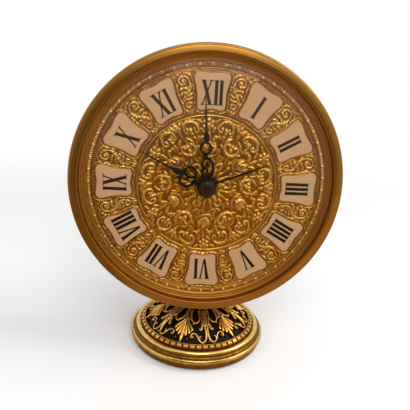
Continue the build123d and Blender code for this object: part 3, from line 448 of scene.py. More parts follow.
@dataclass(frozen=True)
class GiltRelief(Skin):
    """Embossed or cast gilt brass: dark wax and painted shade in the recesses, warm gold, rubbed bright and a
    painted highlight on the high points.
    """

    # The recess colour is wax and also painted shade in the hollows; the rubbed colour is wear and also a
    # painted highlight on the crests.
    recess_shade_and_wax: str = "#704608"
    gold: str = "#B07820"
    highlight_and_rubbed: str = "#F8CA7C"
    levels: Triple = (0.05, 0.45, 0.95)
    rough_drift: Pair = (0.16, -0.1)
    bump: float = 0.15
    bump_mm: float = 0.2
    stain_mm: float = 9.0
    stain: float = 0.3
    grit_mm: float = 0.8

    def surface(self, tree: NodeTree) -> Node:
        """Colours the relief by its wear and painted shading, shifted by stains, over a fine grit.

        Args:
            tree: The material's node tree.

        Returns:
            The shader's node.
        """
        place = add_node(tree, "TexCoord").outputs["Object"]
        polish_and_shading = add_node(tree, "Attribute", {"attribute_name": "polish_and_shading"}).outputs["Fac"]
        stain = add_node(tree, "TexNoise", {
            "Scale": grain_scale(self.stain_mm), "Detail": 5.0, "Roughness": 0.6}, {"Vector": place})
        grit = add_node(tree, "TexNoise", {
            "Scale": grain_scale(self.grit_mm), "Detail": 3.0}, {"Vector": place})
        shift = add_node(tree, "Math", {
            "operation": "MULTIPLY_ADD", 1: self.stain, 2: -self.stain / 2}, {0: stain})
        level = add_node(tree, "Math", {"operation": "ADD", "use_clamp": True}, {
            0: polish_and_shading, 1: shift})
        ramp = add_node(tree, "ValToRGB", links={"Fac": level})
        stops = ramp.color_ramp.elements
        stops.new(self.levels[1])
        for stop, position, code in zip(stops, self.levels, (self.recess_shade_and_wax, self.gold, self.highlight_and_rubbed)):
            stop.position = position
            stop.color = linear(code)
        return self.skin(tree, ramp, level, grit)


@dataclass(frozen=True)
class TurnedMetal(Skin):
    """Spun or turned metal under old lacquer: satin, with fine rings about its axis and dull patches."""

    colour: str = "#8A5E30"
    dull: str = "#6E4824"
    axis: Axis = Axis.CASE
    roughness: float = 0.32
    patch_mm: float = 16.0
    line_mm: float = 0.7  # real turning lines are about 0.1 mm apart; drawn coarser, so that they show
    streak: float = 0.3

    def surface(self, tree: NodeTree) -> Node:
        """Draws rings by the distance from the axis and the place along it, over broad patches.

        Args:
            tree: The material's node tree.

        Returns:
            The shader's node.
        """
        centre, way = self.axis.value
        place = add_node(tree, "TexCoord").outputs["Object"]
        centred = add_node(tree, "VectorMath", {"operation": "SUBTRACT", 1: centre}, {0: place})
        across = add_node(tree, "VectorMath", {
            "operation": "MULTIPLY", 1: tuple(1.0 - part for part in way)}, {0: centred})
        radius = add_node(tree, "VectorMath", {"operation": "LENGTH"}, {0: across})
        along = add_node(tree, "VectorMath", {"operation": "DOT_PRODUCT", 1: way}, {0: centred})
        pair = add_node(tree, "CombineXYZ", links={
            0: radius.outputs["Value"], 1: along.outputs["Value"]})
        lines = add_node(tree, "TexNoise", {
            "noise_dimensions": "2D", "Scale": grain_scale(self.line_mm), "Detail": 2.0}, {"Vector": pair})
        patch = add_node(tree, "TexNoise", {
            "Scale": grain_scale(self.patch_mm), "Detail": 6.0, "Roughness": 0.65}, {"Vector": place})
        blend = add_node(tree, "Math", {
            "operation": "MULTIPLY_ADD", 1: self.streak}, {0: lines, 2: patch})
        level = add_node(tree, "MapRange", {
            "From Min": 0.2 + self.streak / 2, "From Max": 0.8 + self.streak / 2}, {"Value": blend})
        colour = add_node(tree, "Mix", {
            "data_type": "RGBA", 6: linear(self.dull), 7: linear(self.colour)}, {0: level})
        return self.skin(tree, colour.outputs[2], level, lines)


@dataclass(frozen=True)
class BrushedMetal(Skin):
    """Sheet or bar metal brushed along one direction: a straight fine grain and a few dull patches."""

    colour: str = "#C79C50"
    dull: str = "#A67C38"
    rough_drift: Pair = (0.1, -0.05)
    bump: float = 0.06
    grain_mm: Triple = (9.0, 0.6, 0.6)  # the real grain is finer; drawn so that it shows
    patch_mm: float = 12.0
    dull_below: float = 0.1
    bright_above: float = 0.42

    def surface(self, tree: NodeTree) -> Node:
        """Stretches a noise into a grain and multiplies it by patches.

        Args:
            tree: The material's node tree.

        Returns:
            The shader's node.
        """
        place = add_node(tree, "TexCoord").outputs["Object"]
        drawn = add_node(tree, "Mapping", {
            "Scale": tuple(grain_scale(size) for size in self.grain_mm)}, {"Vector": place})
        grain = add_node(tree, "TexNoise", {"Scale": 1.0, "Detail": 3.0}, {"Vector": drawn})
        patch = add_node(tree, "TexNoise", {
            "Scale": grain_scale(self.patch_mm), "Detail": 4.0}, {"Vector": place})
        blend = add_node(tree, "Math", {"operation": "MULTIPLY"}, {0: grain, 1: patch})
        level = add_node(tree, "MapRange", {
            "From Min": self.dull_below, "From Max": self.bright_above}, {"Value": blend})
        colour = add_node(tree, "Mix", {
            "data_type": "RGBA", 6: linear(self.dull), 7: linear(self.colour)}, {0: level})
        return self.skin(tree, colour.outputs[2], level, grain)


@dataclass(frozen=True)
class Coated(Skin):
    """Enamel, paint, browned steel or cast skin: a coat whose colour and gloss drift a little."""

    colour: str = "#CDAA80"
    drift: str = "#C19A6C"
    rough_drift: Pair = (-0.06, 0.06)
    bump: float = 0.04
    bump_mm: float = 0.2
    metallic: float = 0.0
    drift_mm: float = 8.0
    wave_mm: float = 1.5

    def surface(self, tree: NodeTree) -> Node:
        """Lets the colour and the roughness drift together, over a slight wave.

        Args:
            tree: The material's node tree.

        Returns:
            The shader's node.
        """
        place = add_node(tree, "TexCoord").outputs["Object"]
        drift = add_node(tree, "TexNoise", {
            "Scale": grain_scale(self.drift_mm), "Detail": 4.0}, {"Vector": place})
        wave = add_node(tree, "TexNoise", {
            "Scale": grain_scale(self.wave_mm), "Detail": 2.0}, {"Vector": place})
        colour = add_node(tree, "Mix", {
            "data_type": "RGBA", 6: linear(self.colour), 7: linear(self.drift)}, {0: drift})
        return self.skin(tree, colour.outputs[2], drift, wave)


@dataclass(frozen=True)
class ClearGlass(Finish):
    """Blown domed glass: seen through almost untouched, with a thin pale film high up and towards its rim
    that is dust and also painted reflection haze.

    Attributes:
        share: How much of the mirror image at its edge is kept.
        haze_film: The most that the dust and painted haze cover.
        haze_film_low: Upward lean of the glass where the film starts, as the normal's height.
        haze_film_high: Upward lean where it is full.
        rim_facing: How far the normal faces the front where the rim's film is full.
        middle_haze_dust: What is left of the film in the middle, which is wiped.
    """

    roughness: float = 0.05
    edge_ior: float = 1.45
    share: float = 0.2
    wave_mm: float = 25.0
    # Colour of the film, which is dust and also painted reflection haze.
    haze_dust: str = "#F4D4AC"
    haze_film: float = 0.042
    haze_film_low: float = -0.1
    haze_film_high: float = 0.18
    rim_facing: float = -0.984
    middle_haze_dust: float = 0.08

    def surface(self, tree: NodeTree) -> Node:
        """Mixes clear glass with a film of dust and painted reflection haze, and both with a mirror image
        that grows towards the edge.

        Args:
            tree: The material's node tree.

        Returns:
            The shader's node.
        """
        place = add_node(tree, "TexCoord").outputs["Object"]
        wave = add_node(tree, "TexNoise", {"Scale": grain_scale(self.wave_mm)}, {"Vector": place})
        bump = add_node(tree, "Bump", {"Strength": 0.02, "Distance": 0.5 * MM}, {"Height": wave})
        edge = add_node(tree, "Fresnel", {"IOR": self.edge_ior})
        geometry = add_node(tree, "NewGeometry")
        outside = add_node(tree, "Math", {"operation": "SUBTRACT", 0: 1.0}, {
            1: geometry.outputs["Backfacing"]})
        front = add_node(tree, "Math", {"operation": "MULTIPLY", 1: self.share}, {0: outside})
        part = add_node(tree, "Math", {"operation": "MULTIPLY"}, {0: edge, 1: front})
        gloss = add_node(tree, "BsdfGlossy", {"Roughness": self.roughness}, {"Normal": bump})
        clear = add_node(tree, "BsdfTransparent")
        facing = add_node(tree, "SeparateXYZ", links={0: geometry.outputs["Normal"]})
        # The pale film is dust and also painted reflection haze, fullest where the glass faces up and towards
        # its rim.
        upward_film = add_node(tree, "MapRange", {
            "From Min": self.haze_film_low, "From Max": self.haze_film_high, "To Max": self.haze_film}, {
            "Value": facing.outputs["Z"]})
        rim = add_node(tree, "MapRange", {
            "From Min": -1.0, "From Max": self.rim_facing, "To Min": self.middle_haze_dust}, {
            "Value": facing.outputs["Y"]})
        cloudy = add_node(tree, "Math", {"operation": "ADD", 1: 0.5}, {0: wave})
        haze_film = outside
        for amount in (upward_film, rim, cloudy):
            haze_film = add_node(tree, "Math", {"operation": "MULTIPLY"}, {0: haze_film, 1: amount})
        haze_dust = add_node(tree, "BsdfDiffuse", {"Color": linear(self.haze_dust)})
        hazy_dust = add_node(tree, "MixShader", links={0: haze_film, 1: clear, 2: haze_dust})
        return add_node(tree, "MixShader", links={0: part, 1: hazy_dust, 2: gloss})


@dataclass(frozen=True)
class WoolFelt(Finish):
    """Pressed wool felt: matt, with short tangled fibres."""

    colour: str = "#28382C"
    tip: str = "#4A5E4C"
    fibre_mm: float = 0.8
    nap_mm: float = 0.4

    def surface(self, tree: NodeTree) -> Node:
        """Twists a noise into fibres with paler tips.

        Args:
            tree: The material's node tree.

        Returns:
            The shader's node.
        """
        place = add_node(tree, "TexCoord").outputs["Object"]
        fibre = add_node(tree, "TexNoise", {
            "Scale": grain_scale(self.fibre_mm), "Detail": 8.0, "Distortion": 1.5}, {"Vector": place})
        colour = add_node(tree, "Mix", {
            "data_type": "RGBA", 6: linear(self.colour), 7: linear(self.tip)}, {0: fibre})
        bump = add_node(tree, "Bump", {
            "Strength": 0.7, "Distance": self.nap_mm * MM}, {"Height": fibre})
        return add_node(tree, "BsdfPrincipled", {"Roughness": 0.95, "Sheen Weight": 0.4}, {
            "Base Color": colour.outputs[2], "Normal": bump})


@dataclass(frozen=True)
class SweepPaper(Finish):
    """Matt studio paper: white, and faded out into the white surround away from the object."""

    colour: str = "#FAFAFA"
    tooth_mm: float = 2.0
    near_mm: float = 260.0
    far_mm: float = 620.0

    def surface(self, tree: NodeTree) -> Node:
        """Fades matt paper to clear between two distances from the middle.

        Args:
            tree: The material's node tree.

        Returns:
            The shader's node.
        """
        place = add_node(tree, "TexCoord").outputs["Object"]
        tooth = add_node(tree, "TexNoise", {"Scale": grain_scale(self.tooth_mm)}, {"Vector": place})
        bump = add_node(tree, "Bump", {"Strength": 0.02, "Distance": 0.2 * MM}, {"Height": tooth})
        away = add_node(tree, "VectorMath", {"operation": "LENGTH"}, {0: place})
        fade = add_node(tree, "MapRange", {
            "interpolation_type": "SMOOTHSTEP", "From Min": self.near_mm * MM,
            "From Max": self.far_mm * MM}, {"Value": away.outputs["Value"]})
        paper = add_node(tree, "BsdfDiffuse", {"Color": linear(self.colour)}, {"Normal": bump})
        clear = add_node(tree, "BsdfTransparent")
        return add_node(tree, "MixShader", links={0: fade, 1: paper, 2: clear})


class Finishes:
    """The finishes of the clock, by what they cover."""

    # Sheet brass pressed in a die and fire-gilt: deep brown in the hollows, from wax and painted shade; pale
    # gold where hands rubbed it, with a painted highlight there too.
    dial_gilt = GiltRelief("embossed_gilt_brass")
    # The same sheet, chased by hand: shallower, so lighter in its hollows, with less painted shade.
    band_gilt = GiltRelief("chased_gilt_brass", recess_shade_and_wax="#7E5214", gold="#B27E2C", highlight_and_rubbed="#F6C878")
    # Brass rolled with a beaded edge: small bright points, wear and painted highlights on the beads, on a
    # soft warm ground.
    track_gilt = GiltRelief("rolled_gilt_brass", 0.36, recess_shade_and_wax="#845419", gold="#B47C30", highlight_and_rubbed="#FFDC88")
    # Cast and gilt brass: thick and rounded, with a red-brown tone left in the corners, which is also painted
    # shade, and painted highlights on the crests.
    dome_gilt = GiltRelief("cast_gilt_brass", 0.28, recess_shade_and_wax="#5A2E06", gold="#9C661E", highlight_and_rubbed="#E8B45C")
    # Cast brass turned on a lathe and gilt: worn, pitted and speckled; dark between the beads as painted
    # shade, with painted highlights along the beads.
    foot_gilt = GiltRelief("turned_gilt_brass", 0.28, recess_shade_and_wax="#4A2E0A", gold="#906420", highlight_and_rubbed="#F0C474",
                           stain_mm=2.2, stain=0.7, grit_mm=1.2)
    # Brass spun over a form and lacquered: a broad satin sheen that runs round the rim.
    bezel_gilt = TurnedMetal("spun_bezel_brass", 0.34, colour="#AA7834", dull="#92642A", patch_mm=30.0,
                             streak=0.15)
    # Bronze left to tarnish under the glass: dull and even, with no clear reflection.
    cove_bronze = TurnedMetal("patinated_cove_bronze", 0.45, bump=0.01, colour="#A67129", dull="#96621E",
                              streak=0.08)
    # Rolled brass bent to a drum and lacquered: satin, with rings and duller patches.
    case_brass = TurnedMetal("lacquered_case_brass", 0.30, colour="#A87C3C", dull="#866026")
    # Turned brass in the shade of the drum: darker and browner.
    neck_brass = TurnedMetal("turned_neck_brass", colour="#8E6228", dull="#6A4618", axis=Axis.STAND)
    # Rolled clock brass, brushed: a straight grain and a yellow shine.
    wheel_brass = BrushedMetal("rolled_movement_brass")
    # Pressed brass that fingers keep bright.
    key_brass = BrushedMetal("pressed_key_brass", 0.24, colour="#DCB468", dull="#B48844")
    # Engraved lines filled with black wax: flat and dark.
    filled_black = Coated("wax_filled_engraving", 0.6, gloss=0.2, colour="#1A120A", drift="#2A1E12")
    # Ground steel: grey, with a fine straight grain.
    bare_steel = BrushedMetal("ground_steel", 0.28, colour="#B4B2AE", dull="#8E8C88")
    # Enamel fired on metal: near black, with a green cast and a soft gloss.
    dome_enamel = Coated("green_black_enamel", 0.35, gloss=0.06, colour="#0C0E06", drift="#16140A")
    # Enamel aged to cream: even and smooth, hardly shiny.
    plate_enamel = Coated("cream_enamel", 0.4, bump=0.03, gloss=0.3, colour="#BE9469", drift="#B2865B")
    # Black enamel laid on the cream: a brown black without shine.
    numeral_black = Coated("numeral_black_enamel", 0.5, gloss=0.1, colour="#180C05", drift="#201007")
    # Steel blackened in oil: matt and almost black.
    hand_black = Coated("blackened_hand_steel", 0.45, gloss=0.06, colour="#140A05", drift="#1E1209")
    # Steel browned by rust and wax: dark brown, with a faint soft light on its top.
    hub_brown = Coated("browned_hub_steel", gloss=0.16, colour="#201208", drift="#2C1A0C")
    # Cast iron from a sand mould: grey and grainy.
    weight_iron = Coated("cast_iron", 0.7, bump=0.5, metallic=0.6, colour="#3A3A3A", drift="#2A2827")
    # Blown and ground glass: clear, with a pale film high up and at the rim, dust where a cloth does not
    # reach and also painted reflection haze.
    glass = ClearGlass("domed_glass")
    # Pressed wool felt, dyed green: matt and fibrous.
    felt = WoolFelt("green_wool_felt")
    # Matt white paper: takes the shadow and fades into the white round it.
    paper = SweepPaper("floor_paper")
    # Uncoated buff board: a warm pale tone for the gilt to mirror.
    buff_card = Coated("buff_card", 0.8, colour="#E8D0A4", drift="#DEC294")
    # Uncoated brown board: the buff card made darker, as painted shade for the left side of what the gilt
    # mirrors.
    shade_card = Coated("shade_card", 0.8, colour="#A4845A", drift="#9A7A50")
    # Black cloth on a frame: takes light away, so that gilt has dark parts.
    flag_cloth = Coated("black_flag_cloth", 0.9, colour="#2A221C", drift="#241C16")


# Pieces


def add_object(name: str, data: ID) -> Object:
    """Puts a mesh, a light or a camera in the scene.

    Args:
        name: The object's name.
        data: What it shows.

    Returns:
        The object.
    """
    made = bpy.data.objects.new(name, data)
    bpy.context.scene.collection.objects.link(made)
    return made


def add_piece(name: str, shape: Shape, finish: Finish, slot: str, replaces: Sequence[str] = (),
              body: str = ROOT_BODY, axis: Axis = Axis.CASE, sharp: float = 40.0) -> Object:
    """Makes a Blender object from a shape and lets it ride on a body.

    Args:
        name: The piece's name.
        shape: The shape, in millimetres.
        finish: Its finish.
        slot: The record's material slot; not used.
        replaces: The solids that it stands for.
        body: The body it moves with.
        axis: The axis that the shape is drawn about, which is its z.
        sharp: The angle in degrees above which an edge stays sharp.

    Returns:
        The object.
    """
    points = shape.points * MM
    if axis is Axis.CASE:
        points = np.stack([points[:, 0], -points[:, 2], points[:, 1] + DIAL_HEIGHT * MM], 1)
    mesh = bpy.data.meshes.new(name)
    mesh.from_pydata(points.tolist(), [], shape.faces)
    # The per-vertex wear and painted shading goes to the material as an attribute.
    if shape.polish_and_shading is not None:
        values = mesh.attributes.new("polish_and_shading", "FLOAT", "POINT")
        values.data.foreach_set("value", np.asarray(shape.polish_and_shading, np.float32))
    mesh.polygons.foreach_set("use_smooth", np.ones(len(mesh.polygons), bool))
    mesh.set_sharp_from_angle(angle=math.radians(sharp))
    mesh.materials.append(finish.material())
    made = add_object(name, mesh)
    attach(made, body)
    if replaces:
        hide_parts(*replaces)
    return made


def dress(frame: Loaded, finish: Finish, *nodes: str) -> list[Object]:
    """Gives solids that stay in view a finish.

    Args:
        finish: The finish.
        nodes: Names of the solids.

    Returns:
        The dressed objects.
    """
    dressed = [frame["nodes"][name] for name in nodes]
    for made in dressed:
        made.data.materials.clear()
        made.data.materials.append(finish.material())
    return dressed


# The stand


@dataclass(frozen=True)
class Motif:
    """One ornament of the pierced cover, drawn on the dome about its own middle line.

    Attributes:
        strands: Pairs of degrees and radius, half widths, half height, and lift of the middle above the dome.
        beads: Degrees, radius from the axis and size of small balls.
        side_strands: Strands that stand on both sides.
        side_beads: Balls that stand on both sides.
    """

    strands: tuple[Strand, ...]
    beads: tuple[Triple, ...]
    side_strands: tuple[Strand, ...]
    side_beads: tuple[Triple, ...]


# A fan of petals over a spear, hung from the collar.
PALMETTE = Motif(
    strands=(
        (((0.0, 9.4), (0.0, 15.0), (0.0, 20.8)), (2.0, 1.7, 1.1), 0.6, -0.35),
        (((0.0, 20.4), (0.0, 24.0), (0.0, 28.4)), (0.5, 3.2, 2.4), 0.3, -0.4),
        (((0.0, 20.4), (0.0, 25.5), (0.0, 29.2), (0.0, 30.6), (0.0, 33.2)),
         (0.4, 0.6, 0.8, 1.2, 0.25), 0.8, -0.25),
    ),
    beads=((0.0, 20.6, 0.8),),
    side_strands=(
        (((1.0, 21.2), (2.6, 25.0), (4.1, 28.8), (4.5, 29.7)), (0.3, 0.7, 0.9, 0.7), 0.7, -0.25),
        (((1.9, 21.2), (4.9, 24.4), (7.7, 27.6), (8.1, 28.6)), (0.3, 0.65, 0.9, 0.7), 0.65, -0.25),
        (((2.6, 21.0), (6.8, 23.3), (10.4, 25.6), (11.0, 26.8), (10.2, 27.2)),
         (0.35, 0.65, 0.8, 0.5), 0.6, -0.25),
        (((3.0, 20.4), (8.0, 20.9), (11.8, 21.7), (12.8, 22.9), (11.0, 23.4)),
         (0.35, 0.5, 0.5, 0.35), 0.55, -0.25),
    ),
    side_beads=((6.6, 31.2, 0.55),),
)

# Two wires that meet, run down side by side and curl away at the rim.
STRAP = Motif(
    strands=((((0.0, 9.4), (0.0, 14.0), (0.0, 19.0), (0.0, 24.4)), (1.9, 2.2, 1.7, 0.5), 0.5, -0.4),),
    beads=((0.4, 32.2, 0.65),),
    side_strands=(
        (((10.5, 14.0), (8.4, 17.5), (5.2, 21.0), (2.2, 24.3), (1.2, 26.5), (1.4, 29.5), (3.0, 31.6),
          (6.6, 32.5), (9.8, 31.2), (12.2, 29.3), (15.0, 28.3), (18.0, 28.5), (19.4, 29.6), (18.4, 30.6),
          (16.8, 30.2), (17.2, 29.5)), (0.55, 0.6, 0.65, 0.6, 0.6, 0.45, 0.4), 0.6, -0.25),
        (((9.8, 31.2), (9.2, 29.8), (7.6, 29.6)), (0.4, 0.5, 0.35), 0.5, -0.25),
        (((3.6, 20.5), (5.6, 23.5), (6.6, 26.0), (8.4, 26.4), (8.8, 25.4)), (0.8, 0.6, 0.4), 0.55, -0.25),
        (((2.0, 15.0), (1.7, 19.0), (0.9, 23.0)), (0.5, 0.7, 0.35), 0.7, -0.05),
        (((8.6, 19.2), (11.0, 21.6), (14.6, 22.6), (18.4, 21.9), (21.6, 20.2), (24.4, 17.5), (26.0, 14.0)),
         (0.5, 0.65, 0.5), 0.55, -0.25),
        (((4.5, 9.4), (5.5, 12.5), (6.4, 16.5)), (1.3, 1.1, 0.8), 0.5, -0.4),
    ),
    side_beads=((8.6, 30.4, 0.6),),
)

# The foot's outside, up over two beads: inset from the greatest radius and height over the base.
FOOT_PROFILE: Path = (
    (2.0, 0.0), (1.3, 0.5), (0.9, 1.4), (0.6, 2.4), (0.2, 3.4), (0.0, 4.5), (0.15, 5.4), (0.6, 6.1),
    (1.2, 6.35), (1.7, 6.3), (2.4, 6.7), (2.85, 7.2), (3.0, 7.7), (2.85, 8.1), (2.85, 8.5), (3.05, 9.0),
    (3.4, 9.45), (3.9, 9.8), (4.5, 10.0), (5.2, 9.9), (5.9, 9.6))


@dataclass
class Stand:
    """The foot, its toothed ring, the enamelled dome with its pierced gilt cover, and the neck."""

    frame: Loaded
    foot_radius: float = 42.1
    foot_base: float = 0.8
    seat: float = 10.4
    seat_inset: float = 5.9
    cavity_radius: float = 33.0
    shoulder_radius: float = 30.5
    shoulder_low: float = 9.2
    # Height and inset of the painted highlight and wear on each bead, and how far it spreads.
    low_bead: Pair = (5.5, 1.3)
    high_bead: Pair = (9.5, 5.4)
    bead_spread: float = 1.4
    dome_radius: float = 33.2
    dome_spring: float = 12.7
    dome_top: float = 25.2
    dome_sphere: float = 47.91
    dome_centre: float = -21.84
    ring_width: float = 2.7
    tooth_count: int = 56
    tooth_share: float = 0.66
    motif_count: int = 6
    palmette_bearing: float = -20.0
    bead_lift: float = -0.1
    bead_rows: int = 6
    bead_pole: float = 0.02
    bead_side: Triple = (1.0, 0.13, 0.02)

    def on_dome(self, bearing: float, path: Array, lift: float) -> tuple[Array, Array]:
        """Lays a path of (degrees, radius) pairs on the dome.

        Args:
            bearing: Bearing of the motif's middle, from the front towards the viewer's right.
            path: Pairs of degrees from that middle and radius from the axis.
            lift: Height above the dome.

        Returns:
            The points and the outward directions.
        """
        a = np.radians(bearing + path[:, 0])
        r = path[:, 1]
        z = self.dome_centre + np.sqrt(self.dome_sphere**2 - r**2)
        base = np.column_stack([r * np.sin(a), -r * np.cos(a), z])
        up = base - np.array([0.0, 0.0, self.dome_centre])
        up /= np.linalg.norm(up, axis=1, keepdims=True)
        return base + up * lift, up

    def bead(self, bearing: float, degrees: float, radius: float, size: float) -> Shape:
        """Makes a small ball on the dome, as a short tube that swells.

        Args:
            bearing: Bearing of its motif.
            degrees: Degrees from the motif's middle.
            radius: Distance from the axis.
            size: Its radius.

        Returns:
            The ball.
        """
        middle, up = self.on_dome(bearing, np.array([[degrees, radius]]), self.bead_lift)
        rise = np.linspace(-1, 1, self.bead_rows)
        girth = size * np.sqrt(np.maximum(1 - rise**2, 0.0)) + self.bead_pole
        return tube(middle + up * (rise[:, None] * size), girth, girth, np.array(self.bead_side))

    def ornament(self, bearing: float, motif: Motif) -> list[Shape]:
        """Makes one ornament of the pierced cover.

        Args:
            bearing: Bearing of its middle.
            motif: What it consists of.

        Returns:
            Its strands and beads.
        """
        made = []
        sides = ((1.0, motif.strands, motif.beads), (-1.0, motif.side_strands, motif.side_beads),
                 (1.0, motif.side_strands, motif.side_beads))
        for side, strands, beads in sides:
            for points, width, height, lift in strands:
                path, up = self.on_dome(bearing, smooth([(side * a, r) for a, r in points], 5), lift)
                made.append(tube(path, width, height, up))
            made += [self.bead(bearing, side * a, r, size) for a, r, size in beads]
        return made

    def cover(self) -> Shape:
        """Joins all the motifs, the collar and the rim wire of the pierced cover.

        Returns:
            The cover.
        """
        made: list[Shape] = []
        spacing = 360.0 / self.motif_count
        for k in range(self.motif_count):
            made += self.ornament(self.palmette_bearing + k * spacing, PALMETTE)
            made += self.ornament(self.palmette_bearing + (k + 0.5) * spacing, STRAP)
        rim = [(self.dome_radius + 0.3 + 0.5 * math.cos(a), self.dome_spring - 0.1 + 0.45 * math.sin(a))
               for a in np.linspace(0, 2 * math.pi, 8, endpoint=False)]
        top = self.dome_top
        collar = [(9.9, top - 1.4), (10.1, top - 0.5), (9.6, top), (3.2, top), (3.2, top - 0.4)]
        return join([*made, lathe(rim, RIM_STEPS), lathe(collar, COLLAR_STEPS)])

    def tooth_ring(self) -> Shape:
        """Makes the sloping ring under the dome, dark as painted shade between the teeth, with a row of
        raised teeth whose tops are rubbed and carry a painted highlight.

        Returns:
            The ring.
        """
        inner, outer = self.dome_radius + 0.55, self.dome_radius + self.ring_width
        seat, spring = self.seat, self.dome_spring
        ring = lathe([(inner, seat), (outer, seat), (outer, seat + 0.55), (outer - 0.35, seat + 0.85),
                      (inner + 0.2, spring - 0.75), (inner, spring - 0.6)])
        # The ring's ground is painted shade between the teeth.
        ring.polish_and_shading = np.full(len(ring.points), 0.05)
        made = [ring]
        rows = ((outer - 0.15, seat + 0.75), (outer - 0.5, seat + 1.45), (inner + 0.45, spring - 0.1),
                (inner + 0.05, spring - 0.45))
        faces = [(0, 1, 3, 2), (2, 3, 5, 4), (4, 5, 7, 6), (1, 0, 6, 7), (0, 2, 4, 6), (1, 7, 5, 3)]
        # The teeth's tops carry wear and a painted highlight, their edges painted shade.
        wear_and_shading = np.repeat([0.3, 0.8, 0.8, 0.3], 2)
        half = self.tooth_share / 2.0
        for k in range(self.tooth_count):
            turns = [2 * math.pi * (k + t) / self.tooth_count for t in (-half, half)]
            corners = [(r * math.cos(a), r * math.sin(a), z) for r, z in rows for a in turns]
            made.append(Shape(np.array(corners), faces, wear_and_shading))
        return join(made)

    def foot(self) -> Shape:
        """Turns the double-beaded foot, with wear and a painted highlight on its beads, and painted shade
        between and below them.

        Returns:
            The foot.
        """
        r, base = self.foot_radius, self.foot_base
        outer = smooth([(r - inset, base + rise) for inset, rise in FOOT_PROFILE], 4)
        profile = [tuple(p) for p in outer] + [
            (r - self.seat_inset, self.seat), (self.shoulder_radius, self.seat),
            (self.shoulder_radius, self.shoulder_low), (self.cavity_radius, self.shoulder_low),
            (self.cavity_radius, base)]
        shape = lathe(profile, WIDE_STEPS)
        radius, rise = np.array(profile).T - np.array([[0.0], [base]])
        # Low all over as painted shade in the groove and underneath, raised by a painted highlight and wear
        # along each bead.
        wear_and_shading = np.full(len(profile), 0.22)
        for (height, inset), highlight_and_rubbed in ((self.low_bead, 0.6), (self.high_bead, 0.62)):
            wear_and_shading += highlight_and_rubbed * np.exp(-((rise - height) / self.bead_spread) ** 2) * (radius > r - inset)
        shape.polish_and_shading = np.repeat(np.minimum(wear_and_shading, 1.0), WIDE_STEPS)
        return shape

    def build(self) -> list[Object]:
        """Builds and dresses the stand.

        Returns:
            Its pieces.
        """
        gilt, stand = "gilt_brass", Axis.STAND
        return [
            add_piece("foot", self.foot(), Finishes.foot_gilt, gilt, ["foot_ring"], axis=stand),
            add_piece("pierced_cover", self.cover(), Finishes.dome_gilt, gilt, ["openwork_dome"], axis=stand,
                      sharp=60.0),
            add_piece("tooth_ring", self.tooth_ring(), Finishes.dome_gilt, gilt, axis=stand, sharp=30.0),
            *dress(self.frame, Finishes.dome_enamel, "enamel_dome"),
            *dress(self.frame, Finishes.neck_brass, "neck"),
            *dress(self.frame, Finishes.felt, "felt_pad"),
            *dress(self.frame, Finishes.weight_iron, "base_weight"),
            *dress(self.frame, Finishes.bare_steel, "saddle_washer", "tie_bolt", "base_nut"),
        ]


# The case


# The bezel's band, rear edge to lip: inset from the greatest radius and height over the glass's rest.
BEZEL_BAND: Path = (
    (1.6, -3.4), (0.4, -1.3), (0.0, -0.4), (0.05, 0.4), (0.25, 1.05), (0.6, 1.5), (1.0, 1.7), (1.2, 1.6),
    (1.5, 1.8), (2.6, 2.05), (4.1, 2.3))

# The bezel's lip: distance outside the lip's radius and height over the glass's rest.
BEZEL_LIP: Path = ((0.6, 2.25), (0.2, 1.95), (0.05, 1.2), (0.0, 0.0))

# The cove ring's slope with its two fine beads: radius and depth under the glass.
COVE_SLOPE: Path = (
    (69.2, 0.0), (68.75, 0.3), (68.4, 0.48), (68.15, 0.42), (67.9, 0.52), (67.5, 0.74), (67.15, 0.84),
    (66.9, 0.76), (66.6, 0.86), (66.25, 1.1))


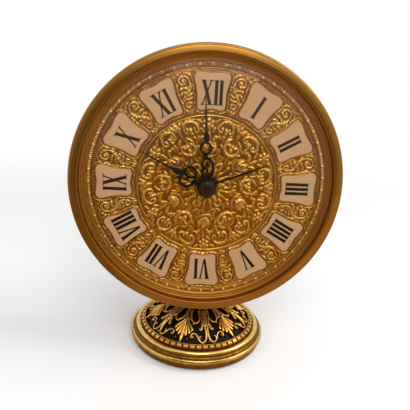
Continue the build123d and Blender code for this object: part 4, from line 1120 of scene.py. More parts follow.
@dataclass
class Case:
    """The drum, the bezel, the glass, the cove ring and the rear cover."""

    frame: Loaded
    drum_radius: float = 70.4
    drum_inner: float = 69.2
    drum_rear: float = -18.0
    drum_front: float = 17.4
    flange: float = 1.2
    rear_opening: float = 60.0
    bezel_bore: float = 70.5
    bezel_radius: float = 75.0
    lip_radius: float = 69.5
    skirt_low: float = 12.4
    skirt_width: float = 1.4
    glass_back: float = 21.9
    glass_front: float = 23.3
    glass_rise: float = 10.1
    glass_edge: float = 68.4
    glass_rows: int = 28
    glass_play: float = 0.1
    cove_back: float = 18.4
    cove_sheet: float = 0.6
    cove_inner: float = 63.7

    def bezel(self) -> Shape:
        """Turns the bezel: a rounded outer edge, a broad sloping band and a lip that holds the glass.

        Returns:
            The bezel.
        """
        bore, low, rest = self.bezel_bore, self.skirt_low, self.glass_front
        band = smooth([(bore + 2.0, low + 4.6)]
                      + [(self.bezel_radius - inset, rest + rise) for inset, rise in BEZEL_BAND]
                      + [(self.lip_radius + out, rest + rise) for out, rise in BEZEL_LIP], 4)
        return lathe([(bore, low), (bore + self.skirt_width, low), *band, (self.lip_radius, self.glass_back),
                      (bore, self.glass_back)], WIDE_STEPS)

    def drum(self) -> Shape:
        """Turns the drum with its rear flange.

        Returns:
            The drum.
        """
        r, inner, rear, opening = self.drum_radius, self.drum_inner, self.drum_rear, self.rear_opening
        return lathe([(opening, rear), (r - 0.6, rear), (r - 0.15, rear + 0.2), (r, rear + 0.7),
                      (r, self.drum_front), (inner, self.drum_front), (inner, rear + self.flange),
                      (opening, rear + self.flange)], WIDE_STEPS)

    def glass(self) -> Shape:
        """Turns the domed glass, with play inside the lip.

        Returns:
            The glass.
        """
        seat = self.lip_radius - self.glass_play
        ball = (self.glass_edge**2 + self.glass_rise**2) / (2 * self.glass_rise)
        radii = np.linspace(self.glass_edge, 0.0, self.glass_rows)
        rise = self.glass_rise - (ball - np.sqrt(ball**2 - radii**2))
        front = np.column_stack([radii, self.glass_front + rise])
        back = np.column_stack([radii, self.glass_back + rise])[::-1]
        return lathe([(seat, self.glass_back), (seat, self.glass_front), *front, *back])

    def cove(self) -> Shape:
        """Turns the dark cove ring with its two fine beads.

        Returns:
            The ring.
        """
        outer, inner, back, top = self.drum_radius - 0.1, self.cove_inner, self.cove_back, self.glass_back
        slope = smooth([(radius, top - depth) for radius, depth in COVE_SLOPE], 3)
        floor = back + self.cove_sheet
        return lathe([(inner, back), (outer, back), (outer, top), *slope, (COVE_SLOPE[-1][0], floor),
                      (inner, floor)], WIDE_STEPS)

    def build(self) -> list[Object]:
        """Builds and dresses the case.

        Returns:
            Its pieces.
        """
        return [
            add_piece("bezel_ring", self.bezel(), Finishes.bezel_gilt, "gilt_brass", ["bezel"]),
            add_piece("drum_shell", self.drum(), Finishes.case_brass, "case_brass", ["case_drum"]),
            add_piece("domed_glass", self.glass(), Finishes.glass, "glass", ["crystal"]),
            add_piece("cove_ring", self.cove(), Finishes.cove_bronze, "aged_bronze", ["dial_surround"]),
            *dress(self.frame, Finishes.case_brass, "rear_cover"),
            *dress(self.frame, Finishes.bare_steel, "bezel_screws", "rear_cover_screws"),
        ]


# The dial


HOUR_STEP = 30.0
MINUTE_STEP = 6.0
WEDGE_STEP = 60.0
NUMERALS = ("XII", "I", "II", "III", "IIII", "V", "VI", "VII", "VIII", "IX", "X", "XI")
LEAF = (0.35, 0.8, 0.62, 0.95, 0.7, 0.75, 0.3)

# Strokes of one of the medallion's twelve mirrored wedges: pairs of radius and degrees, half widths, height.
MEDALLION: tuple[Stroke, ...] = (
    # leaves and buds round the hub, with a stem to each ring
    (((6.6, 30.0), (10.8, 30.0)), (0.7, 1.4, 1.0, 1.1, 0.4), 0.75),
    (((7.2, 4.0), (9.4, 9.0), (11.4, 8.0)), (0.6, 1.0, 0.8, 0.4), 0.7),
    (((10.4, 21.0), (12.6, 23.0), (13.6, 28.0), (12.8, 30.0)), (0.6, 0.9, 0.9, 0.6), 0.85),
    (((11.0, 8.0), (13.4, 10.0), (15.0, 16.0), (16.8, 19.0)), (0.4, 0.55, 0.6, 0.4), 0.55),
    (((13.4, 10.0), (15.6, 6.4)), LEAF, 0.5),
    (((15.2, 15.4), (17.6, 13.6), (20.0, 15.4)), (0.4, 0.9, 0.6, 0.8, 0.4), 0.65),
    (((14.2, 20.0), (15.8, 25.0), (17.2, 27.0)), (0.4, 0.7, 0.6, 0.4), 0.6),
    # shell on the first axis: lobes over a dome, in a collar
    (((18.6, 0.0), (24.6, 0.0)), (0.8, 1.4, 1.6, 0.8), 0.75),
    (((18.9, 3.4), (21.2, 6.6), (23.8, 6.6)), (0.6, 1.1, 1.2, 0.6), 0.65),
    (((20.8, 11.6), (18.2, 10.0), (16.9, 5.4), (16.7, 0.0)), (0.5, 0.8, 0.9), 0.85),
    # tip of the shell to the rosette
    (((25.6, 0.0), (30.2, 0.0)), (0.5, 1.0, 0.7, 1.1, 0.5), 0.75),
    (((25.2, 3.4), (27.6, 7.4), (27.0, 10.4)), (0.6, 0.9, 0.8, 0.5), 0.8),
    (((30.0, 4.0), (32.4, 7.2)), LEAF, 0.7),
    # leaf in the eye of the ring on the second axis, leaves beside it
    (((21.0, 30.0), (25.0, 30.0)), (0.6, 1.4, 0.9, 1.2, 0.5), 0.85),
    (((21.4, 17.6), (23.6, 15.2)), LEAF, 0.75),
    (((24.0, 19.4), (26.4, 21.6), (28.2, 26.0)), (0.5, 0.9, 0.9, 0.5), 0.75),
    # flower in the eye of the C-scroll, and a leaf in its mouth
    (((29.2, 17.6), (32.2, 17.4)), (0.5, 1.3, 0.9, 1.2, 0.5), 0.85),
    (((25.0, 16.0), (28.0, 16.6)), (0.5, 1.1, 0.8, 0.9, 0.4), 0.75),
    (((25.8, 14.0), (28.2, 11.6)), LEAF, 0.7),
    # leaf cluster at the rim on the second axis
    (((29.4, 30.0), (36.9, 30.0)), (0.5, 1.0, 0.8, 1.6, 1.2, 0.6), 0.9),
    (((32.6, 28.8), (36.5, 25.2)), (0.6, 1.3, 0.9, 1.2, 0.5), 0.85),
    # leaves along the rim
    (((35.2, 6.0), (36.9, 9.6)), LEAF, 0.8),
    (((36.9, 11.4), (37.2, 16.0), (36.9, 20.4)), (0.5, 0.8, 0.5), 0.7),
    (((36.6, 23.0), (34.4, 24.0)), LEAF, 0.8),
)

# Curled strokes of a wedge: middle in radius and degrees, way its mouth faces in degrees from the hub's,
# half of its line in radius and degrees from the crest, half widths, height.
CURLS: tuple[tuple[Pair, float, Path, Widths, float], ...] = (
    ((32.0, 17.0), 0.0, ((4.1, 0.0), (4.1, 35.0), (4.1, 70.0), (4.1, 95.0), (3.6, 118.0), (2.7, 128.0),
                         (2.0, 112.0), (2.1, 88.0)), (1.05, 1.0, 0.85, 0.7, 0.6, 0.8), 1.0),
    ((23.0, 30.0), 180.0, ((3.8, 0.0), (3.8, 35.0), (3.9, 70.0), (3.8, 95.0), (3.4, 118.0), (2.6, 130.0),
                           (1.9, 116.0)), (1.2, 1.1, 0.9, 0.7, 0.6, 0.8), 1.0),
)

# Swellings of the medallion's ground in a wedge: middle in radius and degrees, radius, height.
SWELLS: tuple[tuple[Pair, float, float], ...] = (
    ((21.3, 0.0), 4.3, 1.15), ((34.3, 0.0), 4.4, 0.5), ((32.0, 17.0), 6.0, 0.5), ((23.0, 30.0), 6.2, 0.55),
    ((35.0, 30.0), 4.4, 0.55), ((9.0, 30.0), 4.0, 0.35), ((27.6, 6.4), 3.4, 0.35))

# Strokes between two plates: pairs of sideways place and radius, half widths, height.
BAND: tuple[Stroke, ...] = (
    (((-2.6, 57.0), (-2.9, 54.6), (-1.8, 52.0), (0.6, 49.8), (1.9, 47.4), (1.4, 45.2)),
     (0.6, 1.2, 1.3, 1.0, 0.6), 1.4),
    (((-1.4, 52.6), (0.8, 53.6), (3.4, 53.0)), (0.5, 1.2, 0.9, 1.2, 0.4), 1.25),
    (((-0.4, 51.2), (1.8, 51.2), (3.5, 49.7)), (0.5, 1.1, 0.8, 1.0, 0.4), 1.2),
    (((0.8, 49.9), (-1.2, 49.3), (-3.1, 50.2)), (0.5, 1.1, 0.8, 1.1, 0.4), 1.25),
    (((1.6, 48.0), (-0.6, 47.4), (-2.8, 48.1)), (0.5, 1.0, 0.8, 0.9, 0.4), 1.15),
    (((-2.7, 55.2), (-4.0, 53.4), (-3.8, 51.8)), LEAF, 1.1),
    (((-4.2, 58.6), (-2.6, 60.4), (-0.2, 60.9)), (0.4, 1.0, 0.7, 0.9, 0.4), 1.05),
    (((5.0, 58.4), (3.6, 60.2), (1.4, 61.0)), (0.4, 1.0, 0.7, 0.9, 0.4), 1.05),
    (((4.0, 56.4), (4.1, 54.2)), (0.4, 1.0, 0.4), 1.1),
    (((3.0, 47.4), (2.9, 45.2)), (0.3, 0.7, 0.3), 1.0),
    (((-0.5, 39.9), (-2.1, 42.6)), (0.4, 1.0, 0.4), 1.1),
    (((0.0, 39.7), (0.0, 43.2)), (0.4, 1.0, 0.4), 1.15),
    (((0.5, 39.9), (2.1, 42.6)), (0.4, 1.0, 0.4), 1.1),
    (((-7.0, 61.6), (7.0, 61.6)), (0.3, 0.5, 0.3), 0.8),
)

# The two lines round each plate: distance from its edge, half width, height.
PLATE_LINES: tuple[Triple, ...] = ((0.3, 0.45, 0.75), (1.35, 0.38, 1.3))

# Right half of one enamel plate's outline: sideways place and radius.
PLATE_HALF: Path = (
    (0.0, 41.9), (3.2, 41.4), (5.4, 41.0), (6.9, 41.7), (7.35, 43.6), (7.4, 46.5), (7.7, 50.0), (8.4, 53.4),
    (9.2, 56.2), (9.4, 58.0), (8.8, 59.6), (7.0, 60.45), (3.8, 60.3), (0.0, 59.9))


def plane(radius: Any, bearing: Any) -> tuple[Any, Any]:
    """Gives the places of points round the dial.

    Args:
        radius: Distance from the axis, one number or an array.
        bearing: Clockwise bearing from 12 in degrees, in the same way.

    Returns:
        The sideways and the upward places.
    """
    turn = np.radians(bearing)
    return radius * np.sin(turn), radius * np.cos(turn)


def fold(bearing: Array, step: float) -> Array:
    """Returns the degrees from each bearing to the nearest whole step."""
    return np.abs((bearing + step / 2) % step - step / 2)


def wire_height(away: Array, half_width: float, height: float) -> Array:
    """Returns the height of a round wire at a distance from its middle, 0 outside it."""
    return height * np.sqrt(np.maximum(1.0 - (away / half_width) ** 2, 0.0))


@dataclass
class Dial:
    """The embossed dial: medallion, scroll band, minute track, enamel plates and numerals."""

    ground: float = 20.2
    back: float = 19.0
    front: float = 21.5
    hole_radius: float = 3.6
    medallion_radius: float = 38.3
    rosette_radius: float = 34.3
    filler_reach: float = 37.0
    wander: float = 0.8
    tremble: float = 0.15
    grid: float = 0.25
    tallest: float = 1.6
    depth: float = 0.9
    filler_seed: int = 11
    filler_count: int = 150
    band_tallest: float = 1.45
    band_rows: int = 92
    band_steps: int = 1440
    band_lip: float = 62.6
    scroll_eye: Pair = (0.6, 57.0)
    scroll_tail: Pair = (-0.2, 44.9)
    track_inner: float = 62.9
    track_outer: float = 66.2
    track_rows: int = 16
    track_steps: int = 2160
    track_middle: float = 64.6
    track_half: float = 1.05
    track_rims: tuple[Pair, Pair] = ((65.95, 0.7), (63.25, 0.5))
    minute_run: float = 6.8
    minute_half: float = 0.7
    # Painted shade in the hollows and a painted highlight on the crests, with wear: the ground level, the
    # gain with height over the surroundings and with height, and the reach of the surroundings in grid steps.
    wear_and_shading: Triple = (0.36, 0.5, 0.12)
    shade_and_wear_reach: int = 6
    plate_bevel: float = 0.45
    numeral_foot: float = 43.75
    numeral_head: float = 56.5
    stroke: float = 1.75
    stroke_gap: float = 0.85
    hairline: float = 0.75
    serif: float = 0.45
    letter_width: float = 6.3
    thick_inset: float = 1.25
    thin_inset: float = 0.95

    @staticmethod
    def ridges(h: Array, u: Array, v: Array, strokes: Iterable[Ridge]) -> Array:
        """Raises rounded ridges out of a relief.

        Args:
            h: Heights so far, which are changed.
            u: First coordinate of the points.
            v: Second coordinate of the points.
            strokes: Middle line, half widths spread along it and height of each ridge.

        Returns:
            The new heights.
        """
        for path, width, height in strokes:
            widths = spread(width, len(path))
            reach = widths.max()
            near = ((u > path[:, 0].min() - reach) & (u < path[:, 0].max() + reach)
                    & (v > path[:, 1].min() - reach) & (v < path[:, 1].max() + reach))
            pu, pv, best = u[near], v[near], h[near]
            for k in range(len(path) - 1):
                a, d = path[k], path[k + 1] - path[k]
                t = np.clip(((pu - a[0]) * d[0] + (pv - a[1]) * d[1]) / (d @ d + TINY), 0.0, 1.0)
                away = np.hypot(pu - a[0] - t * d[0], pv - a[1] - t * d[1])
                w = widths[k] + (widths[k + 1] - widths[k]) * t
                crest = height * (0.5 + 0.5 * w / reach)
                best = np.maximum(best, crest * np.maximum(1.0 - (away / w) ** 2, 0.0) ** 0.65)
            h[near] = best
        return h

    def worn_and_shaded(self, height: Array, wrap: bool) -> Array:
        """Rates each grid point from 0 in a hollow to 1 on a crest, by its height over its surroundings:
        wear, and also painted shade in the hollows and a painted highlight on the crests.

        Args:
            height: Heights on a grid.
            wrap: Whether the second direction closes on itself.

        Returns:
            One number for each grid point, in one row.
        """
        mean = height
        width = 2 * self.shade_and_wear_reach + 1
        for axis in (0, 1):
            pads = [(0, 0), (0, 0)]
            pads[axis] = (self.shade_and_wear_reach + 1, self.shade_and_wear_reach)
            total = np.cumsum(np.pad(mean, pads, mode="wrap" if wrap and axis else "edge"), axis=axis)
            low = np.arange(mean.shape[axis])
            mean = (np.take(total, low + width, axis=axis) - np.take(total, low, axis=axis)) / width
        ground, crest, tall = self.wear_and_shading
        return np.clip(ground + crest * (height - mean) + tall * height, 0.0, 1.0).ravel()

    def filler_leaves(self) -> Iterator[Ridge]:
        """Strews small bowed leaves over the medallion's ground.

        Yields:
            Middle line, half widths and height of each.
        """
        rng = np.random.default_rng(self.filler_seed)
        for _ in range(self.filler_count):
            radius = self.filler_reach * math.sqrt(rng.uniform(0.2, 1.0))
            middle = np.array(plane(radius, rng.uniform(0.0, 360.0)))
            lean = rng.uniform(0.0, 2 * math.pi)
            size = rng.uniform(0.7, 1.5)
            half = size * np.array([math.cos(lean), math.sin(lean)])
            bow = 0.5 * np.array([-half[1], half[0]])
            path = smooth([middle - half, middle + bow, middle + half], 4)
            yield path, (0.3, 0.55 * size, 0.3), rng.uniform(0.2, 0.4)

    def filler_twigs(self) -> Iterator[Ridge]:
        """Strews small twigs between two plates.

        Yields:
            Middle line, half widths and height of each.
        """
        rng = np.random.default_rng(self.filler_seed)
        for _ in range(self.filler_count // 4):
            middle = np.array([rng.uniform(-4.5, 4.5), rng.uniform(40.0, 62.0)])
            lean = rng.uniform(0.0, 2 * math.pi)
            half = rng.uniform(0.5, 0.9) * np.array([math.cos(lean), math.sin(lean)])
            yield np.array([middle - half, middle + half]), (0.25, 0.5, 0.25), 0.6

    def wedge_strokes(self) -> Iterator[Ridge]:
        """Lists the strokes, curls and the rosette of one wedge of the medallion.

        Yields:
            Middle line, half widths and height of each.
        """
        for pairs, widths, height in MEDALLION:
            yield smooth([plane(*pair) for pair in pairs], 5), widths, height
        for place, mouth, pairs, widths, height in CURLS:
            crest = -np.array(plane(1.0, place[1] + 180.0 + mouth))
            side = np.array([crest[1], -crest[0]])
            for sign in (1.0, -1.0):
                line = [plane(*place) + along * crest + sign * out * side
                        for out, along in (plane(*pair) for pair in pairs)]
                yield smooth(line, 5), widths, height
        rosette = np.array([0.0, self.rosette_radius])
        yield np.array([rosette, rosette + 0.01]), 0.9, 1.0
        for bearing in np.arange(0.0, 360.0, 60.0):
            way = np.array(plane(1.0, bearing))
            yield np.array([rosette + 0.9 * way, rosette + 2.4 * way]), (0.5, 1.1), 0.8

    def medallion_height(self, x: Array, y: Array) -> Array:
        """Gives the medallion's relief: leaves, shells, rings, C-scrolls and rosettes, six times round.

        Args:
            x: First coordinate of the points.
            y: Second coordinate of the points.

        Returns:
            The height above the dial's ground.
        """
        r = np.hypot(x, y)
        # The die was cut by hand, so the lines wander and no wedge is quite like the next.
        bent_x = x + self.wander * np.sin(0.21 * y + 0.8) + self.tremble * np.sin(0.83 * x + 0.37 * y)
        bent_y = y + self.wander * np.sin(0.19 * x + 2.1) + self.tremble * np.sin(0.79 * y - 0.43 * x)
        turn = fold(np.degrees(np.arctan2(bent_x, bent_y)), WEDGE_STEP)
        u, v = plane(np.hypot(bent_x, bent_y), turn)
        base = np.full_like(x, 0.1)
        for place, radius, height in SWELLS:
            middle = plane(*place)
            away = np.hypot(u - middle[0], v - middle[1]) / radius
            base = np.maximum(base, 0.1 + height * np.maximum(1.0 - away**2, 0.0))
        h = self.ridges(np.zeros_like(x), x, y, self.filler_leaves())
        h = base + self.ridges(h, u, v, self.wedge_strokes())
        ripple = np.sin(2.9 * x + 1.7 * np.sin(1.3 * y)) * np.sin(3.3 * y + np.sin(1.7 * x))
        h *= self.depth * (1.0 + 0.14 * ripple)
        h = np.maximum(h, wire_height(r - self.medallion_radius, 0.5, 0.8))
        h *= np.clip((r - self.hole_radius - 0.6) / 1.2, 0.0, 1.0)
        return np.minimum(h, self.tallest)

    def plate_outline(self, grow: float = 0.0) -> Array:
        """Draws the outline of one enamel plate at 12, counter-clockwise.

        Args:
            grow: How far the outline stands outside the plate's edge.

        Returns:
            The points, shape (n, 2).
        """
        points = list(PLATE_HALF) + [(-a, b) for a, b in PLATE_HALF[-2:0:-1]]
        curve = smooth(points, 4, closed=True)
        ahead = np.roll(curve, -1, 0) - np.roll(curve, 1, 0)
        out = np.stack([ahead[:, 1], -ahead[:, 0]], 1)
        return curve + grow * out / (np.linalg.norm(out, axis=1, keepdims=True) + TINY)

    def gap_strokes(self) -> Iterator[Ridge]:
        """Lists the S-scroll with its leaves between two plates.

        Yields:
            Middle line, half widths and height of each stroke.
        """
        for points, widths, height in BAND:
            yield smooth(points, 5), widths, height
        eye = np.array(self.scroll_eye)
        yield spiral(eye, 3.0, 0.8, 175.0, -1.3, 34), (0.8, 1.1, 0.9, 0.7), self.band_tallest
        yield np.array([eye, eye + (0.01, 0.0)]), 1.1, self.band_tallest
        yield spiral(self.scroll_tail, 1.8, 0.5, 0.0, -1.2, 24), (0.7, 0.8, 0.5), 1.25

    def band_height(self, r: Array, theta: Array) -> Array:
        """Gives the relief between the plates: their gilt frames and the S-scrolls with leaves.

        Args:
            r: Radius of the points.
            theta: Clockwise bearing in degrees, from 0 to 360.

        Returns:
            The height above the dial's ground.
        """
        x, y = plane(r, theta)
        h = 0.3 + 0.08 * np.sin(5.3 * x + 0.7) * np.sin(4.9 * y)
        outlines = [(self.plate_outline(grow), width, height) for grow, width, height in PLATE_LINES]
        frames = [(np.vstack([line, line[:1]]), width, height) for line, width, height in outlines]
        h = self.ridges(h, *plane(r, fold(theta, HOUR_STEP)), frames)
        u, v = plane(r, theta % HOUR_STEP - HOUR_STEP / 2)
        u = np.where(np.floor(theta / HOUR_STEP) % 2 == 0, u, -u)
        h = self.ridges(h, u, v, self.filler_twigs())
        h = self.ridges(h, u, v, self.gap_strokes())
        ripple = np.sin(3.1 * x + np.sin(1.9 * y)) * np.sin(3.0 * y + np.sin(1.5 * x))
        h *= self.depth * (1.0 + 0.15 * ripple)
        return np.minimum(np.maximum(h, wire_height(r - self.band_lip, 0.35, 0.6)), self.band_tallest)

    def track_height(self, r: Array, theta: Array) -> Array:
        """Gives the minute track: a bead at each minute, fine flutes between, and two rims.

        Args:
            r: Radius of the points.
            theta: Clockwise bearing in degrees.

        Returns:
            The height above the dial's ground.
        """
        part = (theta / MINUTE_STEP + 0.5) % 1.0 - 0.5
        across = np.maximum(1.0 - ((r - self.track_middle) / self.track_half) ** 4, 0.0)
        bead = 0.85 * across * np.maximum(1.0 - (part * self.minute_run / self.minute_half) ** 4, 0.0)
        flute = (0.34 + 0.32 * np.cos(2 * math.pi * part * 6.0)) * across * (np.abs(part) > 0.11)
        rims = [wire_height(r - radius, 0.25, height) for radius, height in self.track_rims]
        return np.maximum.reduce([bead, flute, *rims])

    def relief(self, points: Sequence[Array], height: Array, polish_and_shading: Array, faces: Array) -> Shape:
        """Turns plane points with heights into a relief, and drops the points that no face uses.

        Args:
            points: The points' two coordinates.
            height: Height of each above the dial's ground.
            polish_and_shading: Wear of each, 0 to 1.
            faces: Index rows.

        Returns:
            The relief.
        """
        used = np.unique(faces)
        index = np.zeros(len(height), int)
        index[used] = np.arange(len(used))
        body = np.column_stack([*points, self.ground + height])[used]
        return Shape(body, [tuple(row) for row in index[faces].tolist()], polish_and_shading[used])

    def medallion(self) -> Shape:
        """Builds the medallion on a square grid.

        Returns:
            The medallion.
        """
        reach = self.medallion_radius + 0.6
        count = int(2 * reach / self.grid) + 1
        axis = np.linspace(-reach, reach, count)
        x, y = np.meshgrid(axis, axis)
        r = np.hypot(x, y)
        keep = (r < reach) & (r > self.hole_radius - 0.1)
        index = np.arange(count * count).reshape(count, count)
        quarters = ((slice(-1), slice(-1)), (slice(-1), slice(1, None)), (slice(1, None), slice(1, None)),
                    (slice(1, None), slice(-1)))
        full = np.logical_and.reduce([keep[part] for part in quarters])
        faces = np.stack([index[part][full] for part in quarters], 1)
        height = self.medallion_height(x.ravel(), y.ravel())
        polish_and_shading = self.worn_and_shaded(height.reshape(count, count), False)
        return self.relief((x.ravel(), y.ravel()), height, polish_and_shading, faces)

    @staticmethod
    def ring_grid(inner: float, outer: float, rows: int, steps: int) -> tuple[Array, Array, Array]:
        """Lays a grid round the dial axis.

        Args:
            inner: Inner radius.
            outer: Outer radius.
            rows: Steps outwards.
            steps: Steps round.

        Returns:
            Radius and bearing of each point, and the faces.
        """
        radii = np.linspace(inner, outer, rows + 1)
        bearings = np.linspace(0.0, 360.0, steps, endpoint=False)
        r, theta = np.meshgrid(radii, bearings, indexing="ij")
        k, s = np.meshgrid(np.arange(rows), np.arange(steps), indexing="ij")
        t = (s + 1) % steps
        corners = np.stack([k * steps + s, (k + 1) * steps + s, (k + 1) * steps + t, k * steps + t], -1)
        return r.ravel(), theta.ravel(), corners.reshape(-1, 4)

    def band(self) -> Shape:
        """Builds the scroll band, without the part that the plates hide.

        Returns:
            The band.
        """
        rows, steps = self.band_rows, self.band_steps
        r, theta, faces = self.ring_grid(self.medallion_radius + 0.5, self.track_inner, rows, steps)
        height = self.band_height(r, theta)
        polish_and_shading = self.worn_and_shaded(height.reshape(rows + 1, steps), True)
        pu, pv = plane(r, fold(theta, HOUR_STEP))
        edge = self.plate_outline(-0.5)
        right = edge[edge[:, 0] >= -ON_AXIS]
        right = right[np.argsort(right[:, 1])]
        limit = np.interp(pv, right[:, 1], right[:, 0], left=-1.0, right=-1.0)
        hidden = (pu < limit - 0.3) & (pv > 42.9) & (pv < 59.0)
        return self.relief(plane(r, theta), height, polish_and_shading, faces[~hidden[faces].all(1)])

    def track(self) -> Shape:
        """Builds the minute track.

        Returns:
            The track.
        """
        r, theta, faces = self.ring_grid(self.track_inner - 0.02, self.track_outer, self.track_rows,
                                         self.track_steps)
        height = self.track_height(r, theta)
        # Painted highlight and wear on the beads' crests, with painted shade between them; the rims are kept
        # dimmer.
        brightest = np.where(np.abs(r - self.track_middle) > 1.0, 0.45, 0.9)
        return self.relief(plane(r, theta), height, np.clip(0.1 + 1.1 * height, 0.0, brightest), faces)

    def plates(self) -> Shape:
        """Builds the twelve enamel plates with rounded edges."""
        plate = slab(self.plate_outline(), self.ground, self.front, self.plate_bevel)
        return join(plate.turned(-HOUR_STEP * k) for k in range(len(NUMERALS)))

    @staticmethod
    def bar(foot: Pair, head: Pair, width: float, taper: float = 1.0) -> Array:
        """Outlines a stroke with level ends, counter-clockwise.

        Args:
            foot: Sideways place and radius of its foot.
            head: Sideways place and radius of its head.
            width: Its width along the head.
            taper: Width of the foot over that of the head.

        Returns:
            Four corners.
        """
        w, t = width / 2.0, taper * width / 2.0
        return np.array([(foot[0] - t, foot[1]), (foot[0] + t, foot[1]), (head[0] + w, head[1]),
                         (head[0] - w, head[1])])

    def numeral(self, text: str) -> list[Array]:
        """Lays out the strokes of one Roman numeral, centred on the 12 o'clock line.

        Args:
            text: The numeral, of I, V and X.

        Returns:
            Outlines of the strokes and serifs.
        """
        low, high, cap = self.numeral_foot, self.numeral_head, self.serif
        thick, thin, top = self.stroke, self.hairline, self.numeral_head - self.serif
        widths = {"I": thick, "V": self.letter_width, "X": self.letter_width}
        left = -(sum(widths[c] for c in text) + self.stroke_gap * (len(text) - 1)) / 2.0
        strokes: list[Array] = []
        for letter in text:
            right = left + widths[letter]
            mid, first, last = (left + right) / 2.0, left + self.thick_inset, right - self.thin_inset
            if letter == "I":
                strokes.append(self.bar((mid, low), (mid, high), thick))
                feet = [(mid, low, thick + 0.6), (mid, top, thick + 0.6)]
            elif letter == "V":
                strokes.append(self.bar((mid + 0.1, low), (first, high), thick + 0.25, 0.5))
                strokes.append(self.bar((mid + 0.3, low), (last, high), thin + 0.1, 0.8))
                feet = [(first, top, 3.1), (last, top, 2.4)]
            else:
                thick_foot, thin_foot = right - self.thick_inset, left + self.thin_inset
                strokes.append(self.bar((thick_foot, low), (first, high), thick + 0.1))
                strokes.append(self.bar((thin_foot, low), (last, high), thin))
                feet = [(first, top, 3.0), (last, top, 2.4), (thick_foot, low, 3.0), (thin_foot, low, 2.4)]
            strokes += [self.bar((x, z), (x, z + cap), size) for x, z, size in feet]
            left = right + self.stroke_gap
        return strokes

    def numerals(self) -> Shape:
        """Builds the twelve painted numerals as thin raised strokes, none level with its neighbour.

        Returns:
            The numerals.
        """
        made = []
        for k, word in enumerate(NUMERALS):
            for n, stroke in enumerate(self.numeral(word)):
                lift = 0.05 + 0.004 * (n % 5)
                made.append(slab(stroke, self.front - 0.05, self.front + lift).turned(-HOUR_STEP * k))
        return join(made)

    def backing(self) -> Shape:
        """Turns the plain back of the dial sheet, under the relief.

        Returns:
            The sheet.
        """
        edge, hole, face = self.track_outer, self.hole_radius, self.ground - 0.1
        return lathe([(hole, self.back), (edge, self.back), (edge, self.ground + 0.2), (edge - 0.3, face),
                      (hole, face)])

    def build(self) -> list[Object]:
        """Builds and dresses the dial.

        Returns:
            Its pieces.
        """
        gilt = "gilt_brass"
        return [
            add_piece("dial_sheet", self.backing(), Finishes.dial_gilt, gilt, ["dial_plate"]),
            add_piece("medallion_relief", self.medallion(), Finishes.dial_gilt, gilt, sharp=80.0),
            add_piece("scroll_band", self.band(), Finishes.band_gilt, gilt, sharp=80.0),
            add_piece("minute_track", self.track(), Finishes.track_gilt, gilt, sharp=80.0),
            add_piece("enamel_plates", self.plates(), Finishes.plate_enamel, "cream_enamel",
                      ["numeral_plates"]),
            add_piece("painted_numerals", self.numerals(), Finishes.numeral_black, "cream_enamel"),
        ]


# The hands


# Wires of the pierced hands, drawn pointing to 12: points that they pass through, half widths.
MINUTE_WIRES: tuple[Wire, ...] = (
    (((0.2, 3.5), (1.6, 6.6), (3.2, 9.6), (3.1, 13.4), (1.0, 16.3), (-1.6, 15.6), (-2.4, 13.4), (-1.2, 12.0),
      (0.2, 12.9), (-0.2, 14.2)), (0.85, 0.7, 0.62, 0.55, 0.5)),
    (((-0.2, 3.5), (-1.7, 6.2), (-2.6, 8.8), (-1.5, 10.7), (0.1, 10.2), (0.2, 8.8), (-0.8, 8.2)),
     (0.85, 0.65, 0.55, 0.5)),
    (((-2.2, 13.4), (-1.9, 11.6), (-0.6, 10.6)), (0.5, 0.55, 0.5)),
    (((0.6, 16.2), (0.1, 17.4), (-0.2, 18.6)), (0.65,)),
    (((-1.0, 16.2), (-2.0, 17.2), (-1.2, 18.0), (0.0, 17.6)), (0.5, 0.45)),
)
HOUR_WIRES: tuple[Wire, ...] = (
    (((0.0, 3.5), (-0.2, 6.0), (-0.6, 8.4)), (1.7, 1.4, 1.0)),
    (((-0.4, 8.2), (-3.2, 8.4), (-5.2, 10.4), (-5.0, 13.4), (-2.8, 15.6), (-0.4, 15.2), (0.5, 13.2),
      (-0.6, 11.6), (-2.0, 11.9), (-2.1, 13.1)), (0.8, 0.65, 0.6, 0.5)),
    (((0.2, 14.6), (0.9, 15.6), (0.4, 16.8)), (0.75,)),
    (((-5.0, 9.9), (-6.0, 9.2), (-6.3, 8.3)), (0.55, 0.4)),
    (((-2.6, 15.6), (-3.1, 16.8), (-2.3, 17.3)), (0.5, 0.4)),
    (((1.6, 14.6), (2.4, 15.9), (1.6, 16.6)), (0.5, 0.4)),
    (((0.4, 7.6), (1.4, 8.6), (2.0, 9.6)), (0.65,)),
)


